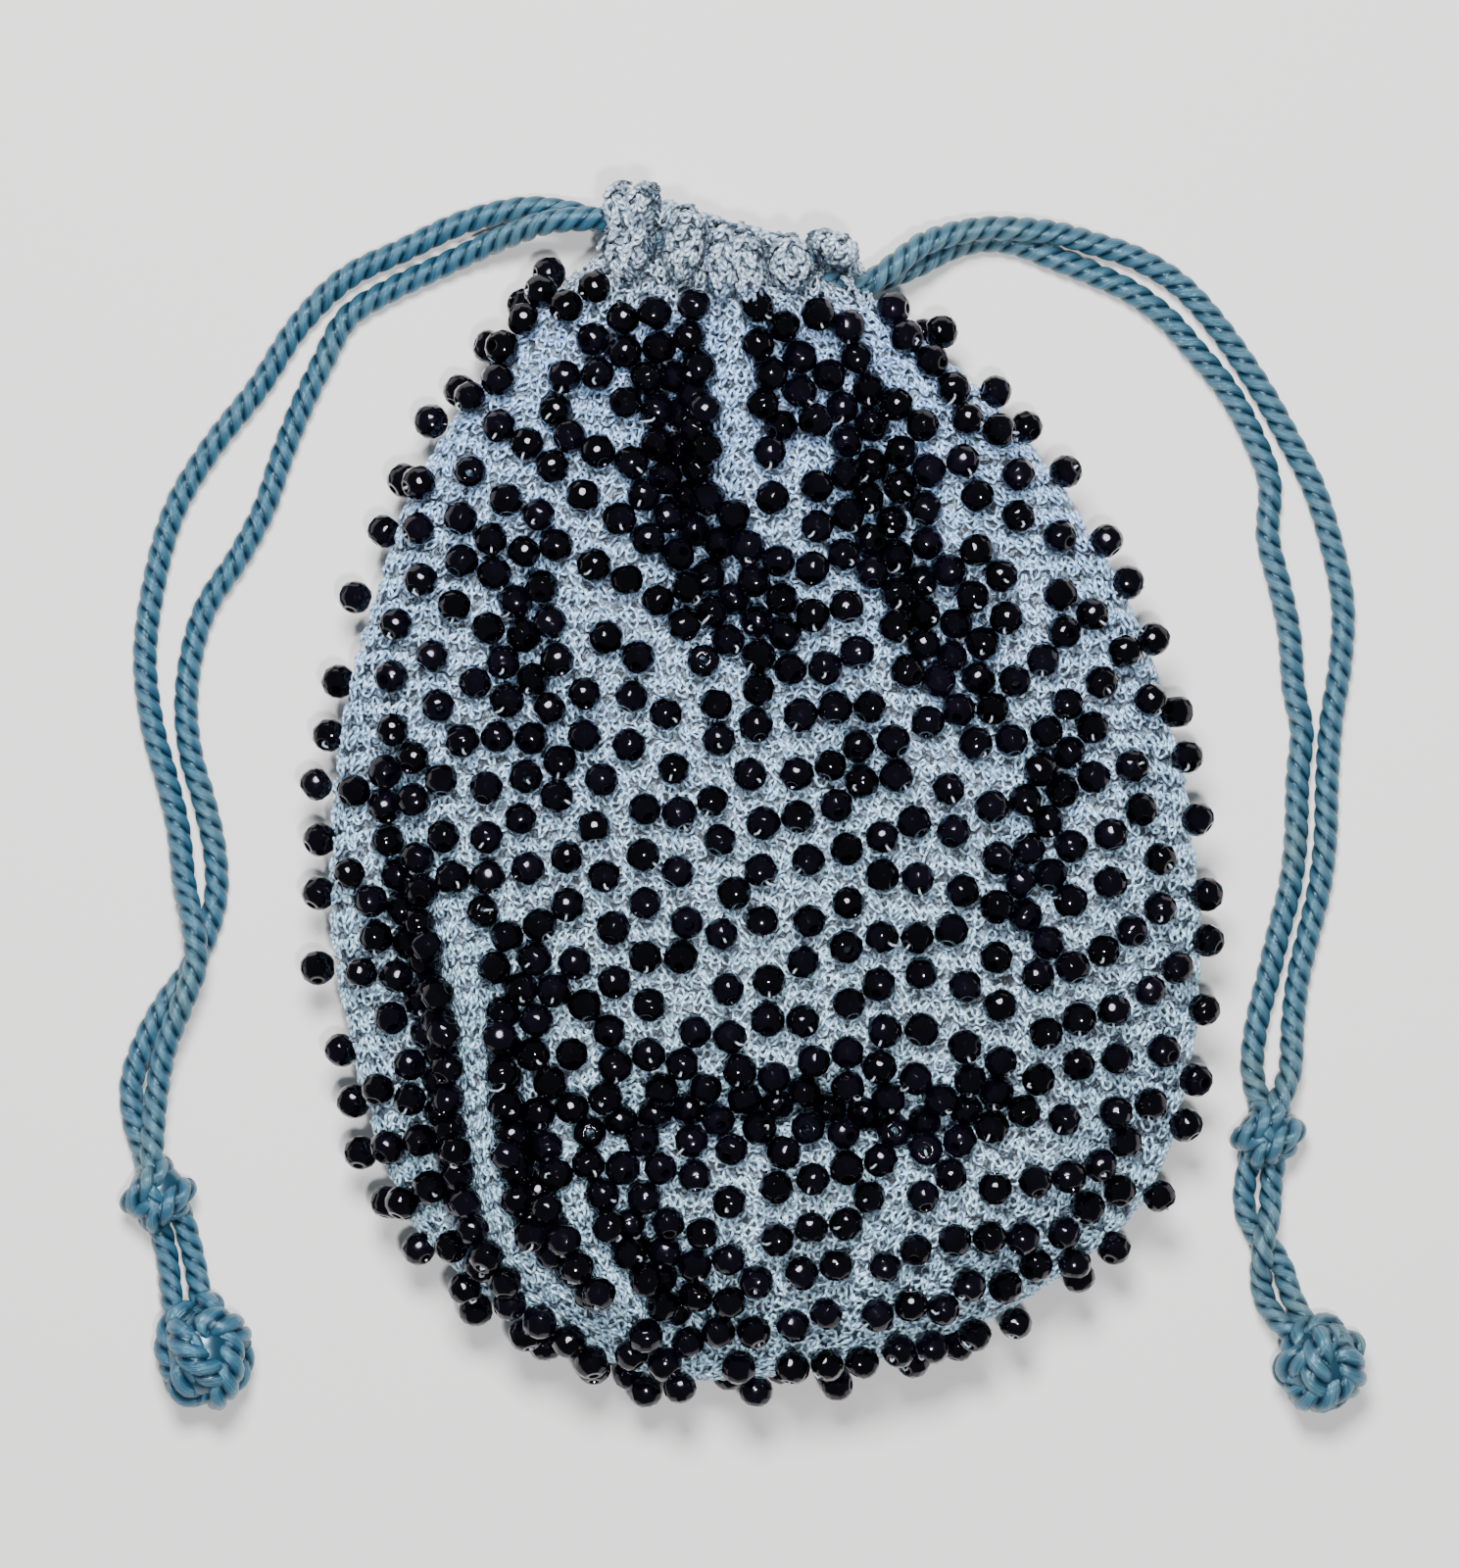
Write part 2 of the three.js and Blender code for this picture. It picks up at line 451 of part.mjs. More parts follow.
// The ball knot: a round core under three rounds of cord that cross each other
function ballSolid(ball) {
  const sphere = new THREE.SphereGeometry(1, BALL_STEPS, BALL_ROWS);
  const thickness = 1 / (2 * ball.half[0]);
  const lean = THREE.MathUtils.degToRad(BALL_LEAN);
  const positions = sphere.attributes.position;
  const direction = new THREE.Vector3();
  for (let i = 0; i < positions.count; i += 1) {
    direction.fromBufferAttribute(positions, i).normalize();
    let crown = 0;
    for (let round = 0; round < BALL_ROUNDS; round += 1) {
      const heading = THREE.MathUtils.degToRad(ball.turn + round * 360 / BALL_ROUNDS);
      const axle = new THREE.Vector3().setFromSphericalCoords(1, lean, heading);
      const offset = Math.min(1, Math.abs(direction.dot(axle)) / thickness);
      crown = Math.max(crown, Math.sqrt(1 - offset * offset));
    }
    direction.multiplyScalar(BALL_CORE + (1 - BALL_CORE) * crown);
    positions.setXYZ(i, direction.x, direction.y, direction.z);
  }
  const half = ball.half.map((size) => size * CORD_DIAMETER);
  return toSolid(sphere).scale(half).translate([ball.x, ball.y, half[2]]);
}

// One bead: three rows of facets between two flat ends, its hole along its own Z
function beadGeometry() {
  const profile = [
    new THREE.Vector2(0, -BEAD_END),
    new THREE.Vector2(BEAD_END_RADIUS, -BEAD_END),
    new THREE.Vector2(1, -BEAD_BAND),
    new THREE.Vector2(1, BEAD_BAND),
    new THREE.Vector2(BEAD_END_RADIUS, BEAD_END),
    new THREE.Vector2(0, BEAD_END),
  ];
  const bead = new THREE.LatheGeometry(profile.map((p) => p.multiplyScalar(BEAD_RADIUS)), BEAD_SIDES);
  bead.rotateX(Math.PI / 2);
  return bead;
}

// Where a bead sits: its middle stands off the bag's outer face along that face's normal
function beadSeat(place, angle) {
  const at = bagPoint(place, angle, 0);
  const alongward = bagPoint(place + SLOPE_STEP, angle, 0).sub(bagPoint(place - SLOPE_STEP, angle, 0));
  const roundward = bagPoint(place, angle + SLOPE_STEP, 0).sub(bagPoint(place, angle - SLOPE_STEP, 0));
  const normal = alongward.clone().cross(roundward).normalize();
  return { at, normal, roundward: roundward.normalize() };
}

const purse = new THREE.Group();

function addPiece(name, geometry, material) {
  const mesh = new THREE.Mesh(geometry, material);
  mesh.name = name;
  purse.add(mesh);
  return mesh;
}

// Bag with its casing
const channelDiameter = CASING_CORD_DIAMETER + 2 * CLEARANCE;
let bagSolid = toSolid(bagGeometry());
for (const side of [-1, 1]) {
  bagSolid = bagSolid.subtract(toSolid(cordGeometry(casingRoute(side), channelDiameter, CASING_STEP)));
}
addPiece('crochet_bag', toGeometry(bagSolid), silkCrochet());

// Drawstrings, their knots and balls
const SIDES = [
  { side: 'left', direction: -1, routes: [LEFT_OUTER_ROUTE, LEFT_INNER_ROUTE], tails: LEFT_TAIL_ROUTES },
  { side: 'right', direction: 1, routes: [RIGHT_OUTER_ROUTE, RIGHT_INNER_ROUTE], tails: RIGHT_TAIL_ROUTES },
];
SIDES.forEach(({ side, direction, routes, tails }, index) => {
  const hiddenLoop = cordGeometry(casingRoute(direction), CASING_CORD_DIAMETER, CASING_STEP);
  addPiece(`${side}_drawstring_in_casing`, hiddenLoop, silkCord());
  let knot = overhandSolid(KNOTS[index]);
  let ball = ballSolid(BALLS[index]);
  ['outer', 'inner'].forEach((which, strand) => {
    const strandName = `${side}_${which}_strand`;
    const tailName = `${side}_${which}_tail`;
    const strandGeometry = cordGeometry(routes[strand], CORD_DIAMETER, STRAND_STEP);
    const tailGeometry = cordGeometry(tails[strand], CORD_DIAMETER, STRAND_STEP);
    addPiece(strandName, strandGeometry, silkCord());
    addPiece(tailName, tailGeometry, silkCord());
    const pocketDiameter = CORD_DIAMETER + 2 * CLEARANCE;
    const lastPoints = routes[strand].slice(-KNOT_POINTS);
    const strandPocket = toSolid(cordGeometry(lastPoints, pocketDiameter, STRAND_STEP / 2));
    const tailPocket = toSolid(cordGeometry(tails[strand], pocketDiameter, STRAND_STEP / 2));
    knot = knot.subtract(strandPocket).subtract(tailPocket);
    ball = ball.subtract(tailPocket);
  });
  addPiece(`${side}_overhand_knot`, toGeometry(knot), silkCord());
  addPiece(`${side}_ball_knot`, toGeometry(ball), silkCord());
});

// Beads along the side fold, on the crown of the front, and under the back
function addBead(name, centre, holeDirection, facetDirection) {
  const bead = addPiece(name, beadGeometry(), blackGlass());
  const hole = holeDirection.clone().normalize();
  const side = new THREE.Vector3().crossVectors(hole, facetDirection).normalize();
  const facet = new THREE.Vector3().crossVectors(side, hole);
  const turn = new THREE.Matrix4().makeBasis(facet.clone().negate(), side.negate(), hole);
  bead.quaternion.setFromRotationMatrix(turn);
  bead.position.copy(centre);
}

function beadOnFace(name, place, angle) {
  const { at, normal, roundward } = beadSeat(place, angle);
  const centre = at.clone().addScaledVector(normal, BEAD_RADIUS + CLEARANCE);
  addBead(name, centre, roundward, normal.clone().negate());
}

// Rim beads stand at equal steps down the left side fold, round the bottom and up the right
function rimSeats() {
  const trail = [];
  for (let place = TOP_BEAD_PLACE; place > BOTTOM_BEAD_PLACE; place -= RIM_TRAIL_STEP) {
    trail.push({ place, angle: LEFT_RIM_ANGLE });
  }
  for (let place = BOTTOM_BEAD_PLACE; place < TOP_BEAD_PLACE; place += RIM_TRAIL_STEP) {
    trail.push({ place, angle: RIGHT_RIM_ANGLE });
  }
  const points = trail.map(({ place, angle }) => bagPoint(place, angle, 0));
  const lengths = [0];
  for (let i = 1; i < points.length; i += 1) {
    lengths.push(lengths[i - 1] + points[i].distanceTo(points[i - 1]));
  }
  const total = lengths[lengths.length - 1];
  return Array.from({ length: RIM_BEADS }, (unused, bead) => {
    const wanted = total * bead / (RIM_BEADS - 1);
    return trail[lengths.findIndex((length) => length >= wanted - MERGE_DISTANCE)];
  });
}

const twoDigits = (number) => String(number).padStart(2, '0');

rimSeats().forEach(({ place, angle }, bead) => {
  beadOnFace(`rim_bead_${twoDigits(bead + 1)}`, place, angle);
});

FRONT_BEADS.forEach(({ place, angle }, bead) => {
  beadOnFace(`front_bead_${twoDigits(bead + 1)}`, place, angle);
});

const downward = new THREE.Vector3(0, 0, -1);
const widthward = new THREE.Vector3(1, 0, 0);
for (let row = 0; row < BACK_BEAD_ROWS; row += 1) {
  for (let place = 0; place < BACK_BEAD_COLUMNS; place += 1) {
    const across = (2 * place / (BACK_BEAD_COLUMNS - 1) - 1) * BACK_BEAD_REACH * BAG_WIDTH / 2;
    const along = BACK_BEAD_FIRST + (BACK_BEAD_LAST - BACK_BEAD_FIRST) * row / (BACK_BEAD_ROWS - 1);
    const number = row * BACK_BEAD_COLUMNS + place + 1;
    const centre = new THREE.Vector3(across, BOTTOM_TIP + along * BAG_LENGTH, FACET_HEIGHT);
    addBead(`back_bead_${twoDigits(number)}`, centre, widthward, downward);
  }
}

export default purse;
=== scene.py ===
import math

import bpy
import numpy as np
from mathutils.kdtree import KDTree
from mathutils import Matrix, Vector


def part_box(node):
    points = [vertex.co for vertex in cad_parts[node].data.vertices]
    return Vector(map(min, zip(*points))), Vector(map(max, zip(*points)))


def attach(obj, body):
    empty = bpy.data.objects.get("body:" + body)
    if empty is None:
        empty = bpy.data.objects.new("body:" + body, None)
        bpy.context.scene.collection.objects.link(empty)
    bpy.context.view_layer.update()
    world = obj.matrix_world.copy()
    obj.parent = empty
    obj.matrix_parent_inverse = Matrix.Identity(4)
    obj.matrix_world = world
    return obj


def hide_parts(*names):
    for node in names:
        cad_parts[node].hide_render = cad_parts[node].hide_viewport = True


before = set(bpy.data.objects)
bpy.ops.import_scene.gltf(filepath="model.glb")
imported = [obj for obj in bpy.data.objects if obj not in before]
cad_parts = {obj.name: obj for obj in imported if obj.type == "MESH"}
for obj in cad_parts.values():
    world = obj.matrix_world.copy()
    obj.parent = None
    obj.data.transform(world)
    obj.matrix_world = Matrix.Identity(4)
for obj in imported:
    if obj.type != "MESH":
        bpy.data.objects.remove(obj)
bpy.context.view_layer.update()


# The camera looks straight down on the purse, as the photograph was taken. Its view is as wide and
# high as the photograph's frame, which shows 8.5 pixels for each millimetre.
MM = 0.001
PHOTO_HEIGHT = 1600               # pixels
PIXELS_PER_MM = 8.5
FRAME_HEIGHT = PHOTO_HEIGHT / PIXELS_PER_MM * MM
VIEW_MIDDLE = (-3.6 * MM, 2.0 * MM)
CAMERA_HEIGHT = 0.9
FOCUS_HEIGHT = 0.012

camera_data = bpy.data.cameras.new("camera")
camera_data.sensor_fit = "VERTICAL"
camera_data.sensor_height = 24
camera_data.lens = camera_data.sensor_height * (CAMERA_HEIGHT - FOCUS_HEIGHT) / FRAME_HEIGHT
camera = bpy.data.objects.new("camera", camera_data)
camera.location = (*VIEW_MIDDLE, CAMERA_HEIGHT)
bpy.context.scene.collection.objects.link(camera)
bpy.context.scene.camera = camera


# The drawstrings are three-ply twisted silk cords, turquoise blue. Two strands leave the neck on
# each side and lie loose on the surface down to their knots.
CORD_DIAMETER = 3.05 * MM
CORD_LAY = 7.05 * MM              # length in which a ply goes once round the cord
CORD_STEP = 0.5 * MM
CORD_SECTION_POINTS = 24
PLY_FLOOR = 0.65                  # how deep the creases between the plies reach, share of the radius
TAIL_SHARE = 0.94                 # diameter of the tails, which the knots stretch, share of the cord's
CORD_LIES = 1.6                   # millimetres up, for the points of a route that give no height
ROUTE_SPANS = 24

# Routes of the free strands, and of the tails below their knots: millimetres across, along and up
STRAND_ROUTES = {
    "left_outer": [
        (-15.5, 69.6, 6.0), (-19.4, 70.1, 5.4), (-23.5, 71.3, 4.2), (-28.8, 71.8, 2.3),
        (-35.9, 70.2), (-42.9, 67.0), (-50.2, 63.4), (-56.0, 57.6), (-60.8, 50.2), (-66.5, 42.9),
        (-70.9, 35.5), (-73.3, 27.3), (-74.6, 17.9), (-73.8, 9.6), (-72.0, 2.6), (-70.6, -3.3),
        (-69.7, -10.4, 2.9), (-68.5, -15.2, 5.1), (-68.2, -20.0, 5.0), (-70.0, -25.1, 4.9),
        (-71.9, -30.0, 4.2), (-73.0, -35.4, 3.6), (-73.4, -39.6, 4.2), (-73.5, -42.7, 4.9),
        (-73.3, -45.4, 4.6),
    ],
    "left_inner": [
        (-15.5, 69.9, 9.6), (-19.4, 70.1, 9.0), (-25.3, 69.8, 7.5), (-29.5, 68.6, 5.3),
        (-33.5, 67.1, 3.1), (-38.5, 64.9, 2.0), (-44.9, 61.9, 1.7), (-50.0, 58.6), (-53.0, 53.2),
        (-55.8, 47.3), (-58.1, 41.4), (-60.1, 35.5), (-63.2, 29.6), (-67.0, 23.8), (-68.9, 17.9),
        (-69.6, 11.4), (-69.0, 5.5), (-67.5, 0.2), (-66.2, -5.6), (-65.9, -10.9), (-66.9, -15.6),
        (-69.0, -20.4), (-72.0, -24.5), (-74.6, -29.2), (-76.2, -34.2), (-75.9, -39.0),
        (-74.7, -42.7, 2.1), (-74.0, -45.4, 3.0),
    ],
    "right_outer": [
        (11.2, 61.2, 9.6), (14.2, 63.0, 9.1), (17.0, 65.1, 8.4), (19.6, 67.1, 7.3),
        (22.9, 68.4, 5.7), (27.1, 69.2, 4.9), (31.2, 69.2, 4.7), (35.9, 68.8, 3.2),
        (40.6, 67.6, 1.8), (45.9, 65.8), (51.2, 62.5), (55.9, 57.3), (60.8, 50.2), (64.4, 43.8),
        (67.4, 37.9), (69.6, 30.8), (70.9, 23.8), (70.6, 16.7), (69.5, 9.6), (69.0, 2.6),
        (68.8, -4.5), (68.1, -10.4), (66.9, -15.6), (65.5, -21.5), (64.8, -27.4),
        (64.4, -32.7, 2.8), (62.7, -36.9, 4.8), (61.9, -38.9, 4.6),
    ],
    "right_inner": [
        (11.2, 61.6, 6.0), (14.2, 62.8, 5.4), (17.2, 64.0, 4.6), (19.8, 65.2, 3.6),
        (23.2, 67.0, 2.2), (27.1, 68.0), (31.2, 67.6), (35.6, 65.9), (40.4, 64.0), (45.1, 61.8),
        (49.4, 58.6), (52.6, 55.0), (56.8, 49.9), (60.0, 44.1), (62.0, 38.5), (61.8, 32.0),
        (63.2, 26.1), (64.4, 20.2), (64.9, 13.8), (65.9, 8.5), (65.4, 2.6), (65.2, -4.5),
        (64.5, -10.4), (63.2, -15.6), (61.8, -21.5), (60.4, -27.4), (59.9, -32.7),
        (60.8, -36.9, 2.2), (61.4, -38.9, 3.0),
    ],
}
TAIL_ROUTES = {
    "left_outer": [
        (-72.9, -47.4, 3.4), (-72.8, -50.9, 2.7), (-71.8, -55.6, 2.4), (-71.0, -61.0, 4.4),
        (-69.4, -64.4, 5.4),
    ],
    "left_inner": [
        (-71.4, -47.0, 3.6), (-69.8, -50.9, 2.7), (-68.6, -55.6, 2.4), (-67.6, -60.6, 4.4),
        (-67.0, -63.4, 5.4),
    ],
    "right_outer": [
        (60.0, -41.6, 3.2), (59.4, -44.4, 2.3), (58.9, -47.6, 1.7), (59.2, -50.4), (60.6, -53.0),
        (62.6, -55.0), (63.8, -57.4, 1.7), (64.5, -60.0, 3.0), (66.2, -63.4, 4.6),
    ],
    "right_inner": [
        (63.0, -41.6, 3.2), (62.4, -45.0, 2.6), (62.1, -47.8, 2.4), (61.8, -50.6, 3.6),
        (61.1, -53.2, 4.7), (60.9, -55.6, 4.4), (60.9, -58.2, 2.9), (61.5, -61.0, 2.8),
        (63.4, -63.6, 4.2), (65.6, -65.2, 5.2),
    ],
}


def smooth_between(before, start, end, after, share):
    """Value of the smooth curve through four neighbours, at a share of the way from start to end."""
    slope_from = (end - before) / 2
    slope_to = (after - start) / 2
    cubic = 2 * start - 2 * end + slope_from + slope_to
    square = -3 * start + 3 * end - 2 * slope_from - slope_to
    return ((cubic * share + square) * share + slope_from) * share + start


def lengths_along(points):
    """Length from the first point to each point of one line."""
    return np.concatenate([[0], np.cumsum(np.linalg.norm(np.diff(points, axis=0), axis=1))])


def even_points(points, step):
    """The same line with its points a step apart."""
    lengths = lengths_along(points)
    wanted = np.linspace(0, lengths[-1], max(2, round(lengths[-1] / step)) + 1)
    return np.column_stack([np.interp(wanted, lengths, points[:, axis]) for axis in range(3)])


def route_centres(route, step=CORD_STEP):
    """Middle of a cord that runs smoothly through the points of its route, given in millimetres."""
    points = np.array([(*spot, CORD_LIES)[:3] for spot in route]) * MM
    points = np.vstack([2 * points[0] - points[1], points, 2 * points[-1] - points[-2]])
    share = np.linspace(0, 1, ROUTE_SPANS, endpoint=False)[:, None]
    spans = [smooth_between(*points[i:i + 4], share) for i in range(len(points) - 3)]
    return even_points(np.vstack([*spans, points[-2:-1]]), step)


def new_piece(name, points, faces, material, lengthwise=None):
    """A smooth mesh piece at the origin, from its corners and one array of faces for each corner count.

    lengthwise holds, for the corners of the first array's faces, the run along the thread or cord
    in ply lengths and the share of the way round it.
    """
    mesh = bpy.data.meshes.new(name)
    sizes = np.concatenate([np.full(len(part), part.shape[1]) for part in faces])
    corners = np.concatenate([part.ravel() for part in faces]).astype(np.int32)
    starts = np.concatenate([[0], np.cumsum(sizes)[:-1]]).astype(np.int32)
    mesh.vertices.add(len(points))
    mesh.vertices.foreach_set("co", np.ascontiguousarray(points, np.float32).ravel())
    mesh.loops.add(len(corners))
    mesh.loops.foreach_set("vertex_index", corners)
    mesh.polygons.add(len(sizes))
    mesh.polygons.foreach_set("loop_start", starts)
    mesh.polygons.foreach_set("use_smooth", np.ones(len(sizes), bool))
    mesh.update(calc_edges=True)
    if lengthwise is not None:
        wound = np.zeros((len(corners), 2), np.float32)
        wound[:len(lengthwise)] = lengthwise
        mesh.uv_layers.new(name="ply").data.foreach_set("uv", wound.ravel())
    mesh.materials.append(material)
    piece = bpy.data.objects.new(name, mesh)
    bpy.context.scene.collection.objects.link(piece)
    return piece


def mark(piece, name, values):
    """Keeps one number for each corner of a piece, for its material to read."""
    values = np.ascontiguousarray(values, np.float32)
    piece.data.attributes.new(name, "FLOAT", "POINT").data.foreach_set("value", values)


def unit(vectors):
    return vectors / np.maximum(np.linalg.norm(vectors, axis=-1, keepdims=True), 1e-12)


def cord_frames(centres, closed=False):
    """Two directions square to a cord at each of its centres, carried along without twisting."""
    if closed:
        tangents = unit(np.roll(centres, -1, axis=0) - np.roll(centres, 1, axis=0))
    else:
        tangents = unit(np.gradient(centres, axis=0))
    across = (0.3, 0.2, 1.0)      # any direction that no cord starts in
    normals = [unit(np.cross(tangents[0], across))]
    for tangent in tangents[1:]:
        normals.append(unit(normals[-1] - tangent * np.dot(normals[-1], tangent)))
    normals = np.array(normals)
    return normals, np.cross(tangents, normals)


def ring_quads(ring, after, sides):
    """Faces between rings of corners, from the number of the first corner of each and of the next."""
    here = np.arange(sides)
    beside = (here + 1) % sides
    return np.stack([ring + here, ring + beside, after + beside, after + here], axis=-1).reshape(-1, 4)


def end_fan(ring, sides, middle):
    """Faces from a ring of corners to the corner in its middle."""
    here = np.arange(sides)
    return np.stack([ring + here, ring + (here + 1) % sides, np.full_like(here, middle)], axis=1)


def turned(faces):
    """The same faces, with their outer side on the other side."""
    return faces[:, [1, 0, 2] if faces.shape[1] == 3 else [0, 3, 2, 1]]


def ply_corners(before, after, sides):
    """Run in ply lengths and share of the way round, for each corner of a tube's ring_quads."""
    before, after, low = np.broadcast_arrays(before, after, np.arange(sides) / sides)
    high = low + 1 / sides
    corners = ((before, low), (before, high), (after, high), (after, low))
    return np.stack([np.stack(corner, axis=-1) for corner in corners], axis=-2).reshape(-1, 2)


def twisted_cord(name, centres, diameter, material, closed=False):
    """A three-ply cord along its centres: a three-lobed section that turns once in each lay."""
    count, sides = len(centres), CORD_SECTION_POINTS
    normals, binormals = cord_frames(centres, closed)
    around = np.arange(sides) * 2 * math.pi / sides
    off_ply = (np.degrees(around) + 60) % 120 - 60
    swell = np.sqrt(np.maximum(0, 1 - (off_ply / 60) ** 2))
    radius = diameter / 2 * (PLY_FLOOR + (1 - PLY_FLOOR) * swell)
    run = lengths_along(centres)
    turns = run / CORD_LAY
    if closed:
        seam = np.linalg.norm(centres[0] - centres[-1])
        twist_left = math.atan2(np.dot(normals[0], binormals[-1]), np.dot(normals[0], normals[-1]))
        whole = round((run[-1] + seam) / CORD_LAY * 3) / 3
        turns = (whole + twist_left / (2 * math.pi)) * run / (run[-1] + seam)
    angle = around - 2 * math.pi * turns[:, None]
    offset = np.cos(angle)[..., None] * normals[:, None] + np.sin(angle)[..., None] * binormals[:, None]
    corners = (centres[:, None] + offset * radius[:, None]).reshape(-1, 3)
    spans = count if closed else count - 1
    ring = np.arange(spans)[:, None] * sides
    faces = [ring_quads(ring, (ring + sides) % (count * sides), sides)]
    if not closed:
        corners = np.vstack([corners, centres[:1], centres[-1:]])
        faces.append(np.vstack([turned(end_fan(0, sides, len(corners) - 2)),
                                end_fan((count - 1) * sides, sides, len(corners) - 1)]))
    step = np.linalg.norm(np.roll(centres, -1, axis=0) - centres, axis=1)
    wound = ply_corners(run[:spans, None] / CORD_LAY, (run + step)[:spans, None] / CORD_LAY, sides)
    piece = new_piece(name, corners, faces, material, wound)
    # Crease depth of each corner, which the silk turns into painted shade in the creases and a painted
    # highlight on the crowns
    crease = np.zeros(len(corners))
    crease[:count * sides] = np.tile(1 - swell, count)
    mark(piece, "crease", crease)
    return piece


def new_material(name):
    material = bpy.data.materials.new(name)
    material.use_nodes = True
    return material


def set_sockets(material, node, sockets):
    """Gives each of a node's sockets its value, or feeds it from another node's output."""
    for socket, value in sockets.items():
        if isinstance(value, bpy.types.NodeSocket):
            material.node_tree.links.new(value, node.inputs[socket])
        else:
            node.inputs[socket].default_value = value


def finish(material, sockets):
    """The material with the surface itself set."""
    set_sockets(material, material.node_tree.nodes["Principled BSDF"], sockets)
    return material


def add_node(material, kind, output, sockets, **settings):
    """Output of a new node, with its own settings made before its sockets are set."""
    node = material.node_tree.nodes.new("ShaderNode" + kind)
    for setting, value in settings.items():
        setattr(node, setting, value)
    set_sockets(material, node, sockets)
    return node.outputs[output]


def place_on(material):
    return add_node(material, "TexCoord", "Object", {})


def ply_on(material):
    return add_node(material, "UVMap", "UV", {}, uv_map="ply")


def marked(material, name):
    return add_node(material, "Attribute", "Fac", {}, attribute_name=name)


def noise(material, at, scale, detail=2, roughness=0.5, distortion=0):
    """Uneven tone over a surface."""
    return add_node(material, "TexNoise", "Fac", {
        "Vector": at, "Scale": scale, "Detail": detail, "Roughness": roughness, "Distortion": distortion})


def colours_by(material, share, *stops):
    """Colours by another node's output, through stops of (position, colour) in rising order."""
    node = material.node_tree.nodes.new("ShaderNodeValToRGB")
    set_sockets(material, node, {"Fac": share})
    elements = node.color_ramp.elements
    for element, (position, colour) in ((elements[0], stops[0]), (elements[1], stops[-1])):
        element.position = position
        element.color = (*colour, 1)
    for position, colour in stops[1:-1]:
        elements.new(position).color = (*colour, 1)
    return node.outputs["Color"]


def mixed(material, share, first, second, kind="RGBA", blend="MIX"):
    return add_node(material, "Mix", "Result", {"Factor": share, "A": first, "B": second},
                    data_type=kind, blend_type=blend)


def multiplied(material, colour, *shades):
    """A colour darkened or lightened by each of the shades."""
    for shade in shades:
        colour = mixed(material, 1, colour, shade, blend="MULTIPLY")
    return colour


def relief(material, height, strength, depth):
    return add_node(material, "Bump", "Normal", {"Height": height, "Strength": strength, "Distance": depth})


def silk_cord_material(name, body, worn):
    """Twisted silk: fine fibres along each ply, partly a painted sheen; painted shade in the creases and a
    painted highlight on the plies' crowns; a hard shine and duller worn stretches.
    """
    silk = new_material(name)
    along_ply = add_node(silk, "Mapping", "Vector", {"Vector": ply_on(silk), "Scale": (2.2, 46, 1)})
    fibres = noise(silk, along_ply, 1, 3, 0.6)
    patches = colours_by(silk, noise(silk, place_on(silk), 55), (0.52, (0, 0, 0)), (0.72, (1, 1, 1)))
    colour = mixed(silk, patches, (*body, 1), (*worn, 1))
    # Fibre streaks along the plies: the fibres' own tone, partly a painted sheen where they lighten the silk
    fibre_streaks_and_sheen = colours_by(silk, fibres, (0.30, (0.42, 0.48, 0.54)), (0.72, (1.55, 1.45, 1.36)))
    # Painted shade in the creases between the plies and a painted highlight on their crowns, by each corner's
    # crease depth
    creases = colours_by(silk, marked(silk, "crease"), (0.0, (1.7, 1.5, 1.4)), (0.16, (1, 1, 1)),
                         (0.40, (0.42, 0.50, 0.56)), (0.75, (0.10, 0.15, 0.20)))
    return finish(silk, {
        "Base Color": multiplied(silk, colour, fibre_streaks_and_sheen, creases),
        "Roughness": 0.26,
        "Specular IOR Level": 1.0,
        "Specular Tint": (0.50, 0.84, 1.0, 1),
        "Normal": relief(silk, fibres, 0.8, 0.22 * MM),
    })


left_silk = silk_cord_material("turquoise_silk_left", (0.022, 0.084, 0.145), (0.050, 0.112, 0.140))
right_silk = silk_cord_material("turquoise_silk_right", (0.030, 0.092, 0.145), (0.068, 0.120, 0.135))
SIDE_SILK = {"left": left_silk, "right": right_silk}

tail_pieces = {}
for name, route in TAIL_ROUTES.items():
    side = name.split("_")[0]
    tail = twisted_cord(f"{name}_tail_cord", route_centres(route), CORD_DIAMETER * TAIL_SHARE, SIDE_SILK[side])
    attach(tail, "root")
    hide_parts(f"{name}_tail")
    tail_pieces[name] = tail

strand_pieces = {}
strand_centres = {}
for name, route in STRAND_ROUTES.items():
    side = name.split("_")[0]
    strand_centres[name] = route_centres(route)
    strand = twisted_cord(f"{name}_cord", strand_centres[name], CORD_DIAMETER, SIDE_SILK[side])
    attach(strand, "root")
    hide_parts(f"{name}_strand")
    strand_pieces[name] = strand


# An overhand knot joins the two strands of a side. Pulled tight, it is a lump with two slanted
# bands of cord over its top and a bight that goes round its left side.
KNOT_CORD = 3.1 * MM
KNOTS = {
    "left": {"middle": (-72.9, -47.7), "half": (4.5, 5.0, 3.9), "slant": 46},
    "right": {"middle": (61.6, -40.3), "half": (4.6, 4.1, 3.8), "slant": 36},
}
# off: place of the loop along the knot's slanted axis, share of its half size. turn: degrees on
# from the knot's slant. size: share of the knot's half size.
KNOT_LOOPS = [
    {"off": -0.38, "turn": 0, "size": 1.00},
    {"off": 0.34, "turn": 4, "size": 1.00},
    {"off": 0.10, "turn": 62, "size": 0.93},
    {"off": -0.30, "turn": -48, "size": 0.90},
]
LOOP_ROUNDING = 0.6               # how much smaller the loops away from the middle are
LOOP_POINTS = 181
CORE_SHARE = 0.78                 # middle of a knot, share of its size
CORE_SHADE = 0.5                 # and the painted shade on it between the bights, as a crease depth of the cord


